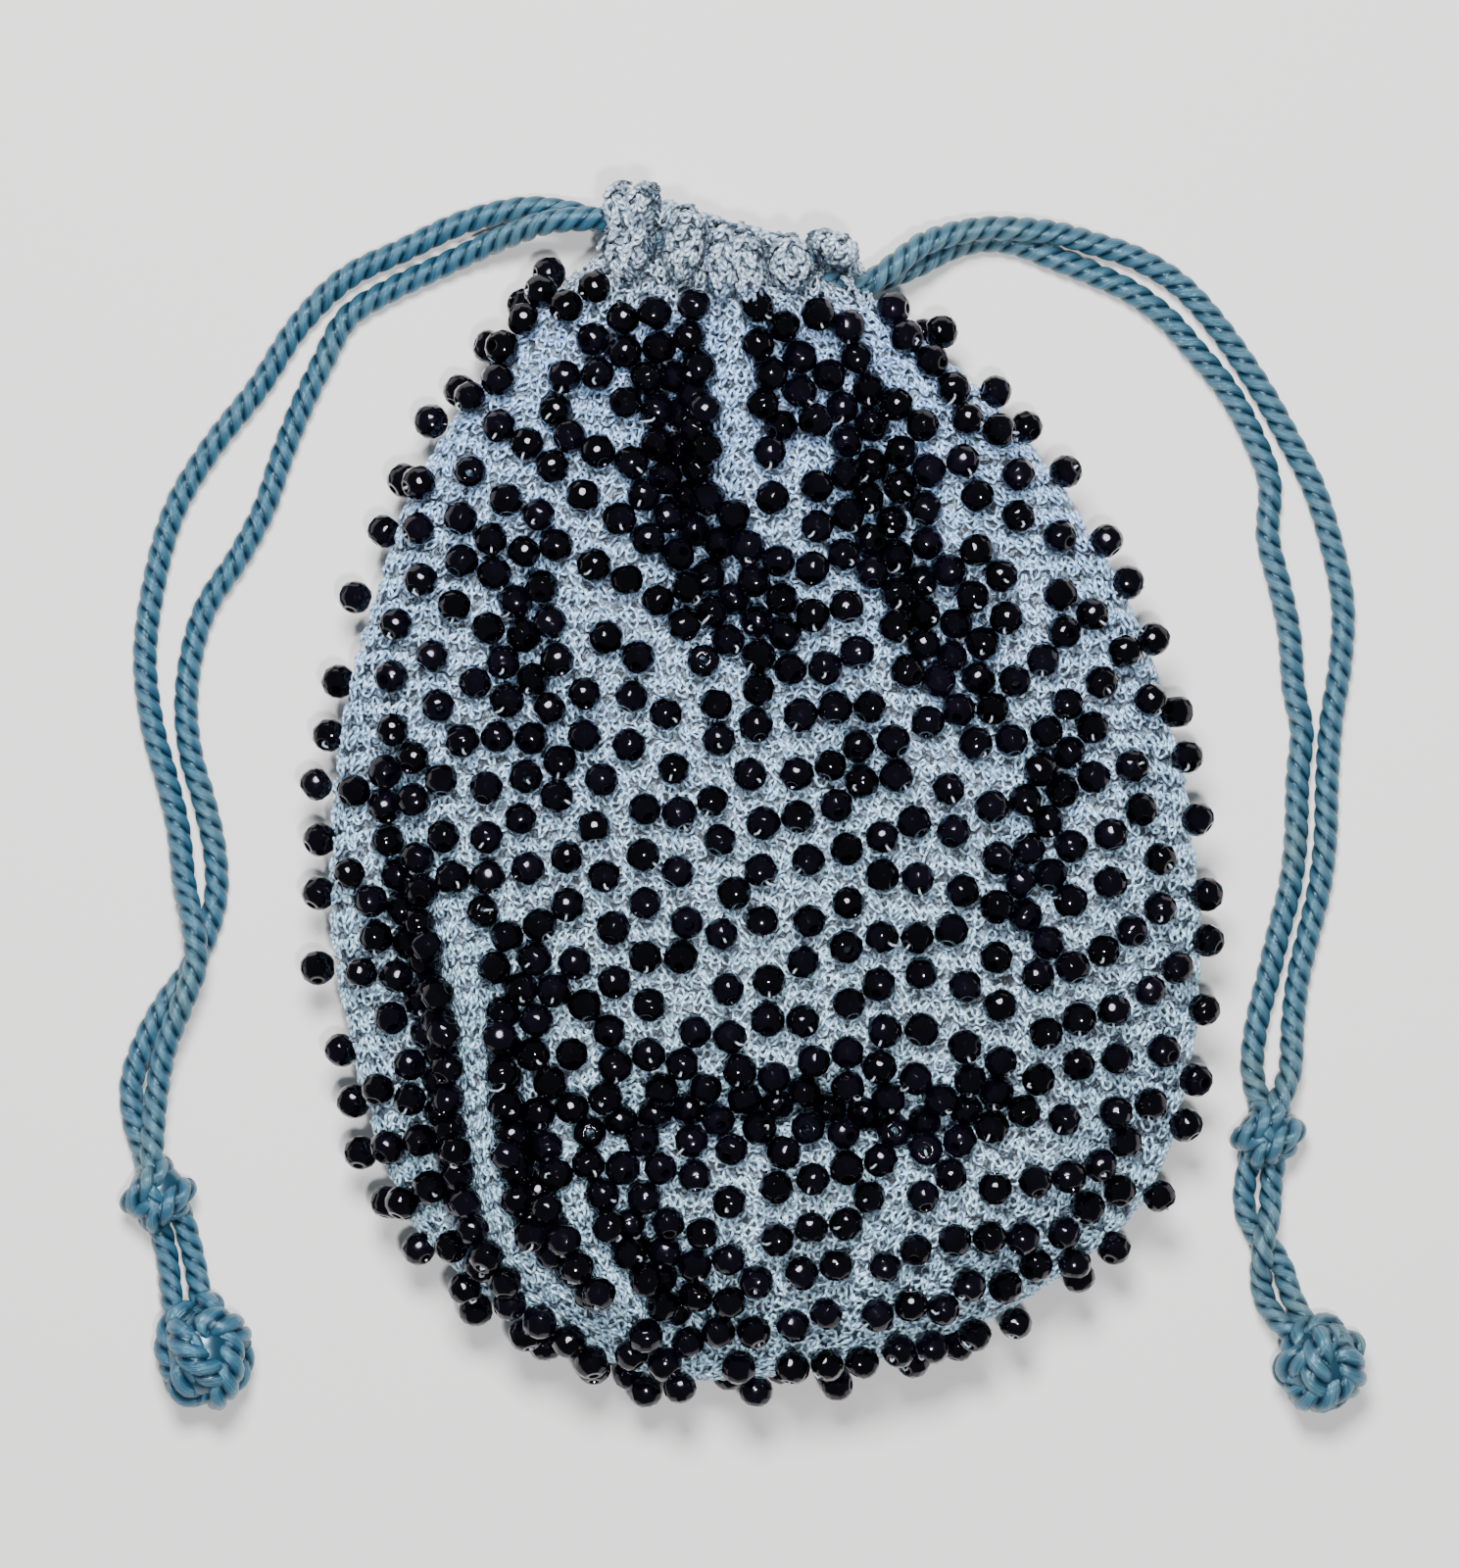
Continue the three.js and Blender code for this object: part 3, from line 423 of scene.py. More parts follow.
def lying(knot):
    """Half sizes and middle of a knot that lies on the surface."""
    half = np.array(knot["half"]) * MM
    return half, np.array([knot["middle"][0] * MM, knot["middle"][1] * MM, half[2]])


def joined(name, parts):
    """One piece from several, in place."""
    bpy.ops.object.select_all(action="DESELECT")
    for part in parts:
        part.select_set(True)
    bpy.context.view_layer.objects.active = parts[0]
    bpy.ops.object.join()
    parts[0].name = name
    parts[0].data.name = name
    return parts[0]


def knot_core(middle, half, material):
    """The round middle of a knot, seen only between its bights."""
    bpy.ops.mesh.primitive_uv_sphere_add(segments=20, ring_count=12, radius=1, location=middle,
                                         scale=tuple(np.array(half) * CORE_SHARE))
    core = bpy.context.object
    bpy.ops.object.transform_apply(location=True, rotation=True, scale=True)
    bpy.ops.object.shade_smooth()
    core.data.materials.append(material)
    # Painted shade: the core is darkened like a crease, as the shadowed middle between the bights
    mark(core, "crease", np.full(len(core.data.vertices), CORE_SHADE))
    return core


knot_pieces = {}
for side, knot in KNOTS.items():
    half, middle = lying(knot)
    round_ways = np.linspace(0, 2 * math.pi, LOOP_POINTS)
    loops = []
    for loop in KNOT_LOOPS:
        slant = math.radians(knot["slant"] + loop["turn"])
        way = np.array([math.cos(slant), math.sin(slant), 0])
        axis = np.array([-math.sin(slant), math.cos(slant), 0])
        reach = half[0] * loop["size"] * math.sqrt(1 - loop["off"] ** 2 * LOOP_ROUNDING) - KNOT_CORD / 2
        rise = half[2] * loop["size"] - KNOT_CORD / 2
        line = (middle + axis * loop["off"] * half[1] + np.outer(np.cos(round_ways), way) * reach
                + np.outer(np.sin(round_ways), (0, 0, 1)) * rise)
        centres = even_points(line, CORD_STEP)[:-1]
        loops.append(twisted_cord(f"{side}_bight", centres, KNOT_CORD, SIDE_SILK[side], closed=True))
    overhand = joined(f"{side}_overhand_bights", [*loops, knot_core(middle, half, SIDE_SILK[side])])
    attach(overhand, "root")
    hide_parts(f"{side}_overhand_knot")
    knot_pieces[side] = overhand


# Each pair ends in a ball knot, a woven button of the same cord: one loop that goes three times
# round a small core and crosses over and under itself as it goes.
BALLS = {
    "left": {"middle": (-67.0, -66.6), "half": (6.2, 7.3, 5.9), "turn": 20},
    "right": {"middle": (68.0, -68.2), "half": (5.8, 6.1, 5.7), "turn": -35},
}
BALL_LEADS = 3
BALL_BIGHTS = 4
BALL_REACH = math.radians(62)     # how far the loop comes towards the ball's poles
BALL_WEAVE = 0.12                 # how far it rises over a crossing, share of the ball's radius
BALL_CORD = 4.0 * MM
BALL_CORD_SUNK = 0.42             # how far the cord's middle lies inside the ball, share of its thickness
BALL_LEAN = math.radians(24)
BALL_POINTS = 900
BALL_STEP = 1.2 * CORD_STEP
BALL_CLEARANCE = 0.05 * MM        # above the surface


def turned_about(angle, first, second):
    """Rotation that turns the first axis towards the second."""
    turn = np.eye(3)
    turn[[first, second], [first, second]] = math.cos(angle)
    turn[first, second], turn[second, first] = -math.sin(angle), math.sin(angle)
    return turn


ball_pieces = {}
for side, ball in BALLS.items():
    half, middle = lying(ball)
    lead = np.linspace(0, 2 * math.pi, BALL_POINTS, endpoint=False)
    longitude = BALL_LEADS * lead
    latitude = BALL_REACH * np.sin(BALL_BIGHTS * lead)
    reach = 1 - BALL_WEAVE + BALL_WEAVE * np.sin(2 * BALL_BIGHTS * lead)
    direction = np.column_stack([
        np.cos(latitude) * np.cos(longitude), np.sin(latitude), np.cos(latitude) * np.sin(longitude),
    ])
    lean_turn = turned_about(BALL_LEAN, 1, 2)
    flat_turn = turned_about(math.radians(ball["turn"]), 0, 1)
    line = direction * reach[:, None] @ lean_turn.T @ flat_turn.T * (half - BALL_CORD_SUNK * BALL_CORD)
    line += middle
    centres = even_points(np.vstack([line, line[:1]]), BALL_STEP)[:-1]
    weave = twisted_cord(f"{side}_ball_weave", centres, BALL_CORD, SIDE_SILK[side], closed=True)
    corners = np.array([v.co for v in weave.data.vertices])
    corners[:, 2] = np.maximum(corners[:, 2], BALL_CLEARANCE)
    weave.data.vertices.foreach_set("co", corners.astype(np.float32).ravel())
    woven = joined(f"{side}_ball_of_cord", [weave, knot_core(middle, half, SIDE_SILK[side])])
    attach(woven, "root")
    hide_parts(f"{side}_ball_knot")
    ball_pieces[side] = woven

for name, strand in strand_pieces.items():
    side, which = name.split("_")
    carried = [tail_pieces[name]]
    if which == "outer":
        carried += [knot_pieces[side], ball_pieces[side]]
    centres = strand_centres[name]


# The bag is crocheted in rounds of ice-blue silk from the round bottom to the gathered neck. Under
# the raised stitches its wall is darker, because little light gets between them.
BAG_WIDTH = 104.4 * MM
BAG_LENGTH = 139.9 * MM
BAG_PUFF = 15.5 * MM
BOTTOM_TIP = -69.9 * MM
SEAM_SHARE = 0.3
FRONT_ROUNDNESS = 2.2
BACK_ROUNDNESS = 4.0
WALL = 1.6 * MM
GATHERED_WALL = 4.8 * MM
INSIDE_START = 1.6
FRILL_LOBES = 8
FRILL_DEPTH = 0.9 * MM
FOLD_FADE = 6
FOLD_END_FROM = -0.15
FOLD_END_TO = 0.25
BUNCH_PLACES = (11.0, 14.5)       # sections between which the small ridges under the neck swell
BUNCH_DEPTH = 1.0 * MM
BEAD_RADIUS = 4.15 / 2 * MM
BEAD_SIDES = 10
FACET_HEIGHT = BEAD_RADIUS * math.cos(math.pi / BEAD_SIDES)
BACK_CLEARANCE = 0.3 * MM
BACK_HEIGHT = 2 * FACET_HEIGHT + BACK_CLEARANCE

# along: share of the length. width, shift: shares of half the width. puff: share of the puff.
# lift: share of the back's height. gather: 0 plain, 1 fully bunched. tilt: degrees.
SECTION_COLUMNS = ("along", "width", "shift", "puff", "lift", "gather", "tilt")
SECTIONS = np.array([
    (0.000, 0.000, -0.110, 0.00, 1.90, 0.0, 0),
    (0.008, 0.180, -0.090, 0.34, 1.35, 0.0, 0),
    (0.026, 0.378, -0.034, 0.54, 1.10, 0.0, 0),
    (0.055, 0.541, -0.007, 0.72, 1.02, 0.0, 0),
    (0.098, 0.716, 0.007, 0.87, 1.00, 0.0, 0),
    (0.152, 0.851, 0.027, 0.96, 1.00, 0.0, 0),
    (0.220, 0.926, 0.034, 1.00, 1.00, 0.0, 0),
    (0.304, 0.975, 0.027, 1.00, 1.00, 0.0, 0),
    (0.396, 1.000, 0.014, 1.00, 1.00, 0.0, 0),
    (0.497, 0.984, 0.002, 0.98, 1.00, 0.0, 0),
    (0.598, 0.935, -0.011, 0.96, 1.00, 0.0, 0),
    (0.682, 0.856, -0.023, 0.93, 1.00, 0.0, 0),
    (0.762, 0.759, -0.041, 0.89, 1.00, 0.0, -1),
    (0.829, 0.637, -0.041, 0.86, 1.00, 0.0, -3),
    (0.880, 0.532, -0.041, 0.83, 0.95, 0.1, -6),
    (0.916, 0.428, -0.034, 0.86, 0.85, 0.4, -9),
    (0.940, 0.333, -0.043, 0.93, 0.72, 0.9, -11.5),
    (0.951, 0.317, -0.047, 1.00, 0.60, 1.0, -12.5),
    (0.976, 0.290, -0.052, 1.00, 0.56, 1.0, -13.7),
    (1.000, 0.300, -0.052, 1.00, 0.54, 1.0, -16),
])
LAST_SECTION = len(SECTIONS) - 1

# Folds: rise, share of the puff, below zero for a valley. Spread, half width, share of half the
# width. Bare, how far beads stay off a ridge's middle, in millimetres. Then the fold's line:
# (across, along), shares of half the width and of the length.
LONG_PLEAT = [(-0.72, 0.42), (-0.66, 0.32), (-0.63, 0.20), (-0.56, 0.12), (-0.36, 0.05)]
SHORT_PLEAT = [(-0.46, 0.18), (-0.38, 0.12), (-0.26, 0.05)]
FOLDS = {
    "left neck valley": (-0.34, 0.085, 0, [
        (-0.27, 0.925), (-0.19, 0.84), (-0.16, 0.75), (-0.08, 0.68), (0.06, 0.63),
    ]),
    "middle neck dimple": (-0.15, 0.050, 0, [(0.00, 0.92), (0.03, 0.86), (0.04, 0.79)]),
    "right neck valley": (-0.33, 0.090, 0, [
        (0.15, 0.92), (0.23, 0.82), (0.30, 0.73), (0.42, 0.65), (0.52, 0.58),
    ]),
    "left shoulder dimple": (-0.18, 0.060, 0, [(-0.35, 0.92), (-0.42, 0.87), (-0.49, 0.81)]),
    "left flank valley": (-0.18, 0.070, 0, [(-0.57, 0.73), (-0.54, 0.64), (-0.49, 0.53)]),
    "outer pleat valley": (-0.32, 0.060, 0, [
        (-0.85, 0.53), (-0.82, 0.42), (-0.76, 0.30), (-0.70, 0.20), (-0.62, 0.10),
    ]),
    "long pleat": (0.20, 0.045, 4.0, LONG_PLEAT),
    "crest of the long pleat": (0.14, 0.026, 0, LONG_PLEAT),
    "inner pleat valley": (-0.28, 0.055, 0, [(-0.62, 0.31), (-0.55, 0.19), (-0.42, 0.08)]),
    "short pleat": (0.14, 0.045, 3.7, SHORT_PLEAT),
    "crest of the short pleat": (0.10, 0.024, 0, SHORT_PLEAT),
    "middle neck ridge": (0.08, 0.050, 3.8, [(-0.08, 0.94), (-0.07, 0.86), (-0.05, 0.76)]),
    "bottom valley": (-0.24, 0.060, 0, [(-0.35, 0.14), (-0.23, 0.10), (-0.17, 0.05)]),
    "low ridge": (0.08, 0.036, 2.9, [(0.35, 0.20), (0.28, 0.135), (0.18, 0.03)]),
    "low cross valley": (-0.26, 0.060, 0, [
        (-0.46, 0.215), (-0.20, 0.235), (0.12, 0.240), (0.40, 0.225), (0.60, 0.270),
    ]),
    "right flank valley": (-0.20, 0.070, 0, [(0.72, 0.59), (0.67, 0.47), (0.60, 0.37)]),
    "middle dimple": (-0.12, 0.060, 0, [(0.21, 0.59), (0.22, 0.55), (0.20, 0.51)]),
    "right rim valley": (-0.16, 0.060, 0, [
        (0.88, 0.25), (0.80, 0.18), (0.66, 0.12), (0.45, 0.07),
    ]),
}
FOLD_SPANS = 16


def section_value(column, place):
    """A column of the section table, read smoothly at a place counted in sections from the tip."""
    values = SECTIONS[:, SECTION_COLUMNS.index(column)]
    padded = np.concatenate([values[:1], values, values[-1:], values[-1:]])
    row = np.clip(np.floor(place), 0, LAST_SECTION - 1).astype(int)
    return smooth_between(padded[row], padded[row + 1], padded[row + 2], padded[row + 3], place - row)


def smooth_paths(controls, spans):
    """Smooth lines through many rows of control points, each sampled at equal shares."""
    padded = np.concatenate([controls[:, :1], controls, controls[:, -1:], controls[:, -1:]], axis=1)
    at = np.linspace(0, controls.shape[1] - 1, spans + 1)
    row = np.minimum(np.floor(at), controls.shape[1] - 2).astype(int)
    share = (at - row)[None, :, None]
    return smooth_between(padded[:, row], padded[:, row + 1], padded[:, row + 2], padded[:, row + 3], share)


def fold_line(line):
    points = np.array([(across * BAG_WIDTH / 2, BOTTOM_TIP + along * BAG_LENGTH) for across, along in line])
    return smooth_paths(points[None], FOLD_SPANS)[0]


# The same in metres: rise, spread, bare and points along the line
FOLD_SHAPES = [(rise, spread * BAG_WIDTH / 2, bare * MM, fold_line(line))
               for rise, spread, bare, line in FOLDS.values()]


def smooth_step(value, low, high):
    share = np.clip((value - low) / (high - low), 0, 1)
    return share * share * (3 - 2 * share)


def nearest_on(line, x, y):
    """Way from each point to the nearest point of a fold's line, and that point's share of the line."""
    nearest = np.full_like(x, np.inf)
    way = np.zeros((*x.shape, 2))
    share = np.zeros_like(x)
    for part in range(len(line) - 1):
        start, end = line[part], line[part + 1]
        span = end - start
        along = np.clip(((x - start[0]) * span[0] + (y - start[1]) * span[1]) / (span @ span), 0, 1)
        off = np.stack([start[0] + along * span[0] - x, start[1] + along * span[1] - y], axis=-1)
        distance = np.hypot(off[..., 0], off[..., 1])
        closer = distance < nearest
        nearest = np.where(closer, distance, nearest)
        way = np.where(closer[..., None], off, way)
        share = np.where(closer, (part + along) / (len(line) - 1), share)
    return way, nearest, share


def fold_fade(share):
    return smooth_step(share, FOLD_END_FROM, FOLD_END_TO) * smooth_step(1 - share, FOLD_END_FROM, FOLD_END_TO)


def fold_rise(x, y):
    """Height of all the folds over a point of the front."""
    height = np.zeros_like(x)
    for rise, spread, _, line in FOLD_SHAPES:
        _, distance, share = nearest_on(line, x, y)
        height += rise * BAG_PUFF * fold_fade(share) * np.exp(-(distance / spread) ** 2)
    return height


def bag_point(place, angle, inset=0.0, fold_share=1.0):
    """Point of the bag at a section place and an angle round from the right side fold over the front."""
    place, angle, inset = np.broadcast_arrays(*(np.asarray(v, float) for v in (place, angle, inset)))
    half_width = section_value("width", place) * BAG_WIDTH / 2
    puff = section_value("puff", place) * BAG_PUFF
    back = section_value("lift", place) * BACK_HEIGHT
    tilt = np.radians(section_value("tilt", place))
    gather = np.clip(section_value("gather", place), 0, 1)
    seam = back + SEAM_SHARE * puff
    on_front = np.sin(angle) > 0
    share = np.abs(np.cos(angle))
    power = np.where(on_front, FRONT_ROUNDNESS, BACK_ROUNDNESS)
    bulge = np.maximum(0, 1 - share ** power) ** (1 / power)
    reach = np.where(on_front, 1 - SEAM_SHARE, SEAM_SHARE) * puff - inset
    lobe = np.where(inset > 0, 0, FRILL_DEPTH * gather * np.abs(np.sin(FRILL_LOBES * angle)))
    across = (half_width - inset + lobe) * np.cos(angle)
    x = section_value("shift", place) * BAG_WIDTH / 2 + across * np.cos(tilt)
    y = BOTTOM_TIP + section_value("along", place) * BAG_LENGTH + across * np.sin(tilt)
    z = seam + np.where(on_front, 1, -1) * (reach + lobe) * bulge
    fold = fold_rise(x, y) * (1 - share ** FOLD_FADE) * (1 - gather) * fold_share
    bunched = smooth_step(place, *BUNCH_PLACES) * (1 - gather)
    fold += BUNCH_DEPTH * bunched * np.cos(2 * FRILL_LOBES * angle) * bulge
    return np.stack([x, y, z + np.where(on_front, fold, 0)], axis=-1)


def bag_frame(place, angle):
    """Point, outward normal and neckward direction of the bag's outer face."""
    step = 0.02
    at = bag_point(place, angle)
    neckward = bag_point(np.minimum(place + step, LAST_SECTION), angle) - bag_point(place - step, angle)
    roundward = bag_point(place, angle + step) - bag_point(place, angle - step)
    normal = unit(np.cross(neckward, roundward))
    neckward = unit(neckward - normal * np.sum(neckward * normal, axis=-1, keepdims=True))
    return at, normal, neckward


WALL_SUNK = 0.62 * MM             # depth of the wall's face below the tops of the stitches
WALL_ANGLES = 130
WALL_PLACES = 100
WALL_TOP = 18.5                   # section place of the rim
TIP_RINGS = (0.12, 2, 14)         # closer rings near the tip: between which places, and how many
TIP_SUNK = 0.3                    # depth of the tip itself, share of the wall's


def silk_wall_material():
    """The closed ground of the crochet, with lighter threads showing in it; its deep steel blue is painted
    shade, the dark seen in the gaps between the stitches.
    """
    ground = new_material("crochet_ground")
    threads = noise(ground, place_on(ground), 1500, 4, distortion=1.2)
    return finish(ground, {
        "Base Color": colours_by(ground, threads, (0.45, (0.006, 0.011, 0.022)), (0.60, (0.22, 0.30, 0.39))),
        "Roughness": 0.6,
        "Normal": relief(ground, threads, 0.8, 0.2 * MM),
    })


def bag_wall():
    """The wall from the tip to the rim outside, over the rim and down to the tip inside."""
    sides = WALL_ANGLES
    angles = np.arange(sides) * 2 * math.pi / sides
    outer = np.concatenate([
        np.linspace(*TIP_RINGS, endpoint=False), np.linspace(TIP_RINGS[1], WALL_TOP, WALL_PLACES),
    ])
    inner = np.linspace(WALL_TOP, INSIDE_START, WALL_PLACES // 2)
    wall = WALL + (GATHERED_WALL - WALL) * np.clip(section_value("gather", inner), 0, 1)
    thin = WALL_SUNK * smooth_step(outer, 0, 2)
    rings = np.concatenate([
        bag_point(outer[:, None], angles[None, :], np.maximum(thin, 1e-6)[:, None]),
        bag_point(inner[:, None], angles[None, :], wall[:, None]),
    ])
    tip = bag_point(0.0, 0.0) + np.array([0, WALL_SUNK * TIP_SUNK, 0])
    points = np.vstack([rings.reshape(-1, 3), tip[None], rings[-1].mean(axis=0)[None]])
    ring = np.arange(len(rings) - 1)[:, None] * sides
    quads = turned(ring_quads(ring, ring + sides, sides))
    inside_fan = turned(end_fan((len(rings) - 1) * sides, sides, len(points) - 1))
    fans = np.vstack([end_fan(0, sides, len(points) - 2), inside_fan])
    return new_piece("crochet_wall", points, [quads, fans], silk_wall_material())


wall_piece = bag_wall()
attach(wall_piece, "root")
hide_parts("crochet_bag")


# The stitches stand on the wall in rows from the neck down: each is one bight of shiny silk
# thread, crossed over itself, and no two are alike.
ROW_PITCH = 2.95 * MM
STITCH_PITCH = 2.5 * MM
THREAD = 0.42 * MM
THREAD_PLY = 1.1 * MM             # from one ply line of the twisted thread to the next
STITCH_SPANS = 16
BAR_SPANS = 10
THREAD_SIDES = 4
NECK_PLACE = 16.6
TIP_PLACE = 0.35
ROW_GRID = (520, 281)             # places and angles at which the rows' runs are measured

# Path of the thread in one stitch: across and along in stitch sizes, height in thread diameters
STITCH_PATH = np.array([
    (-0.42, 0.26, 0.3), (-0.26, 0.02, 1.0), (-0.02, -0.16, 1.3), (0.22, 0.04, 1.1), (0.40, 0.30, 0.6),
    (0.22, 0.44, 0.2), (0.00, 0.24, 0.7), (-0.14, -0.08, 1.0), (-0.24, -0.36, 0.9), (-0.04, -0.47, 0.6),
    (0.18, -0.32, 1.0), (0.30, -0.04, 0.7), (0.08, 0.16, 0.3),
])
# and of the bar of thread that ties it to the next stitch of its row
BAR_PATH = np.array([
    (-0.44, -0.20, -0.2), (-0.18, 0.05, 0.6), (0.10, 0.24, 0.7), (0.32, 0.06, 0.8),
    (0.06, -0.20, 0.5), (-0.24, 0.08, 0.7), (-0.42, 0.26, -0.1),
])


def row_spots(low_angle, high_angle, neck, tip, row_pitch, pitch, stagger=0.5, start=0.0, fold_share=1.0):
    """Spots in rows from the neck down, evenly spaced in each row from its middle."""
    places = np.linspace(neck, tip, ROW_GRID[0])
    angles = np.linspace(low_angle, high_angle, ROW_GRID[1])
    grid = bag_point(places[:, None], angles[None, :], 0.0, fold_share)
    down = np.concatenate([np.zeros((1, len(angles))),
                           np.cumsum(np.linalg.norm(np.diff(grid, axis=0), axis=-1), axis=0)])
    rows = round(float(down[-1].mean()) / row_pitch)
    spots = []
    for row in range(rows):
        depths = (row + 0.5) / rows * down[-1]
        row_places = np.array([np.interp(depth, down[:, i], places) for i, depth in enumerate(depths)])
        run = lengths_along(bag_point(row_places, angles, 0.0, fold_share))
        origin = run[len(angles) // 2] + (start + stagger * (row % 2)) * pitch
        numbers = np.arange(math.ceil((run[0] - origin) / pitch), math.floor((run[-1] - origin) / pitch) + 1)
        at = origin + numbers * pitch
        spots.append(np.column_stack([np.interp(at, run, row_places), np.interp(at, run, angles)]))
    return np.vstack(spots)


def thread_tubes(paths, normals, radius):
    """Little tubes of thread along many paths of equal count: corners, faces and their run and turn."""
    count, spans, sides = paths.shape[0], paths.shape[1], THREAD_SIDES
    tangents = unit(np.gradient(paths, axis=1))
    sideways = unit(np.cross(tangents, normals[:, None, :] + 1e-4))
    upward = np.cross(sideways, tangents)
    angle = (np.arange(sides) + 0.5) * 2 * math.pi / sides
    offset = np.cos(angle)[:, None] * sideways[:, :, None, :] + np.sin(angle)[:, None] * upward[:, :, None, :]
    points = (paths[:, :, None, :] + offset * radius).reshape(-1, 3)
    tube = np.arange(count)[:, None, None] * spans * sides
    ring = tube + np.arange(spans - 1)[:, None] * sides
    first = tube[:, 0] + np.arange(sides)[::-1]
    last = tube[:, 0] + (spans - 1) * sides + np.arange(sides)
    run = np.cumsum(np.linalg.norm(np.diff(paths, axis=1), axis=-1), axis=1) / THREAD_PLY
    run = np.concatenate([np.zeros((count, 1)), run], axis=1)
    faces = [ring_quads(ring, ring + sides, sides), np.vstack([first, last])]
    return points, faces, ply_corners(run[:, :-1, None], run[:, 1:, None], sides)


def share_between(material, value, low, high, least=0, most=1):
    """How far a node's output is from low to high, as a number from least to most."""
    return add_node(material, "MapRange", "Result", {
        "Value": value, "From Min": low, "From Max": high, "To Min": least, "To Max": most})


def silk_thread_material():
    """Shiny twisted silk, bluer towards the neck, greyer in the frill, uneven from age, with a painted
    highlight along each ply, painted shade in the ply lines and painted shade in the creases between the puffs.
    """
    silk = new_material("ice_blue_silk")
    place = place_on(silk)
    along = add_node(silk, "SeparateXYZ", "Y", {"Vector": place})
    bluer = share_between(silk, along, -0.02, 0.05)
    tone = mixed(silk, bluer, (0.53, 0.72, 0.82, 1), (0.45, 0.63, 0.90, 1))
    tone = mixed(silk, share_between(silk, along, 0.057, 0.062), tone, (0.50, 0.56, 0.62, 1))
    plies = add_node(silk, "TexWave", "Fac", {"Vector": ply_on(silk), "Scale": 2 * math.pi / 10},
                     bands_direction="DIAGONAL")
    # Painted light along the thread: a painted highlight across the middle of each ply, painted shade in the
    # ply lines
    lines = colours_by(silk, plies, (0.10, (0.42, 0.50, 0.60)), (0.75, (1.26, 1.32, 1.36)))
    uneven = noise(silk, place, 420, 4, 0.65)
    patches = colours_by(silk, uneven, (0.34, (0.66, 0.71, 0.77)), (0.62, (1.18, 1.16, 1.14)))
    # Painted shade on the stitches in the creases between the puffs
    painted_crease_shade = colours_by(silk, marked(silk, "puff_crease_shade"), (0, (1, 1, 1)), (1, (0.14, 0.16, 0.19)))
    return finish(silk, {
        "Base Color": multiplied(silk, tone, lines, patches, painted_crease_shade),
        "Roughness": 0.24,
        "Specular IOR Level": 1.0,
        "Specular Tint": (0.64, 0.85, 1.0, 1),
        "Normal": relief(silk, plies, 0.7, 0.10 * MM),
    })


ice_blue_silk = silk_thread_material()
STITCH_SUNK = 0.38 * MM           # how deep the stitches' threads lie in the outer face
UNEVEN_PATH = 0.055               # how unlike each other the stitches are: spread of their paths
UNEVEN_HEIGHT = 0.20              # and of their heights


def stitched(name, where, path, size, spans, seed, sunk=STITCH_SUNK, thread=THREAD, uneven=1.0):
    """One mesh of like stitches, each at a point of the crochet with its normal and neckward way."""
    at, normal, neckward = where
    across = np.cross(neckward, normal)
    draw = np.random.default_rng(seed)
    count = len(at)
    controls = np.repeat(path[None], count, axis=0)
    controls[:, :, 0] *= np.where(draw.random(count) < 0.5, -1.0, 1.0)[:, None]
    controls[:, :, :2] += draw.normal(0, UNEVEN_PATH * uneven, (count, len(path), 2))
    controls[:, :, 2] += draw.normal(0, UNEVEN_HEIGHT * uneven, (count, len(path)))
    lines = smooth_paths(controls, spans)
    paths = (at[:, None]
             + across[:, None] * lines[..., :1] * size[0]
             + neckward[:, None] * lines[..., 1:2] * size[1]
             + normal[:, None] * (lines[..., 2:3] * thread - sunk))
    points, faces, wound = thread_tubes(paths, normal, thread / 2)
    piece = new_piece(name, points, faces, ice_blue_silk, wound)
    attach(piece, "root")
    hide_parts("crochet_bag")
    return piece


# The eyelet by which the right drawstring comes out is a dark gap in the stitches
EYELET = (8.6 * MM, 62.9 * MM)
EYELET_HALF = (2.3 * MM, 0.9 * MM)


def part_of(where, keep):
    return tuple(part[keep] for part in where)


def clear_of_eyelet(where):
    at = where[0]
    off = ((at[:, 0] - EYELET[0]) / EYELET_HALF[0]) ** 2 + ((at[:, 1] - EYELET[1]) / EYELET_HALF[1]) ** 2
    return part_of(where, (off > 1) | (at[:, 2] < BAG_PUFF / 2))


def row_frames(angles, start=0.0):
    """Points, normals and neckward ways of the stitches of one side."""
    return bag_frame(*row_spots(*angles, NECK_PLACE, TIP_PLACE, ROW_PITCH, STITCH_PITCH, start=start).T)


STITCH_OVERLAP = 1.06             # stitches reach a little over each other
STITCH_SIZE = (STITCH_PITCH * STITCH_OVERLAP, ROW_PITCH * STITCH_OVERLAP)
BAR_SIZE = (2.7 * MM, 3.1 * MM)
SIDE_GAP = 0.03                   # angle between a side fold and the ends of the rows
FRONT = (SIDE_GAP, math.pi - SIDE_GAP)
BACK = (math.pi + SIDE_GAP, 2 * math.pi - SIDE_GAP)
front_stitches = clear_of_eyelet(row_frames(FRONT))
upper = front_stitches[0][:, 1] > 0
stitched("front_stitches_upper", part_of(front_stitches, upper), STITCH_PATH, STITCH_SIZE, STITCH_SPANS, 11)
stitched("front_stitches_lower", part_of(front_stitches, ~upper), STITCH_PATH, STITCH_SIZE, STITCH_SPANS, 12)
stitched("front_bars", clear_of_eyelet(row_frames(FRONT, 0.5)), BAR_PATH, BAR_SIZE, BAR_SPANS, 15)
stitched("back_stitches", row_frames(BACK), STITCH_PATH, STITCH_SIZE, STITCH_SPANS - 3, 13)


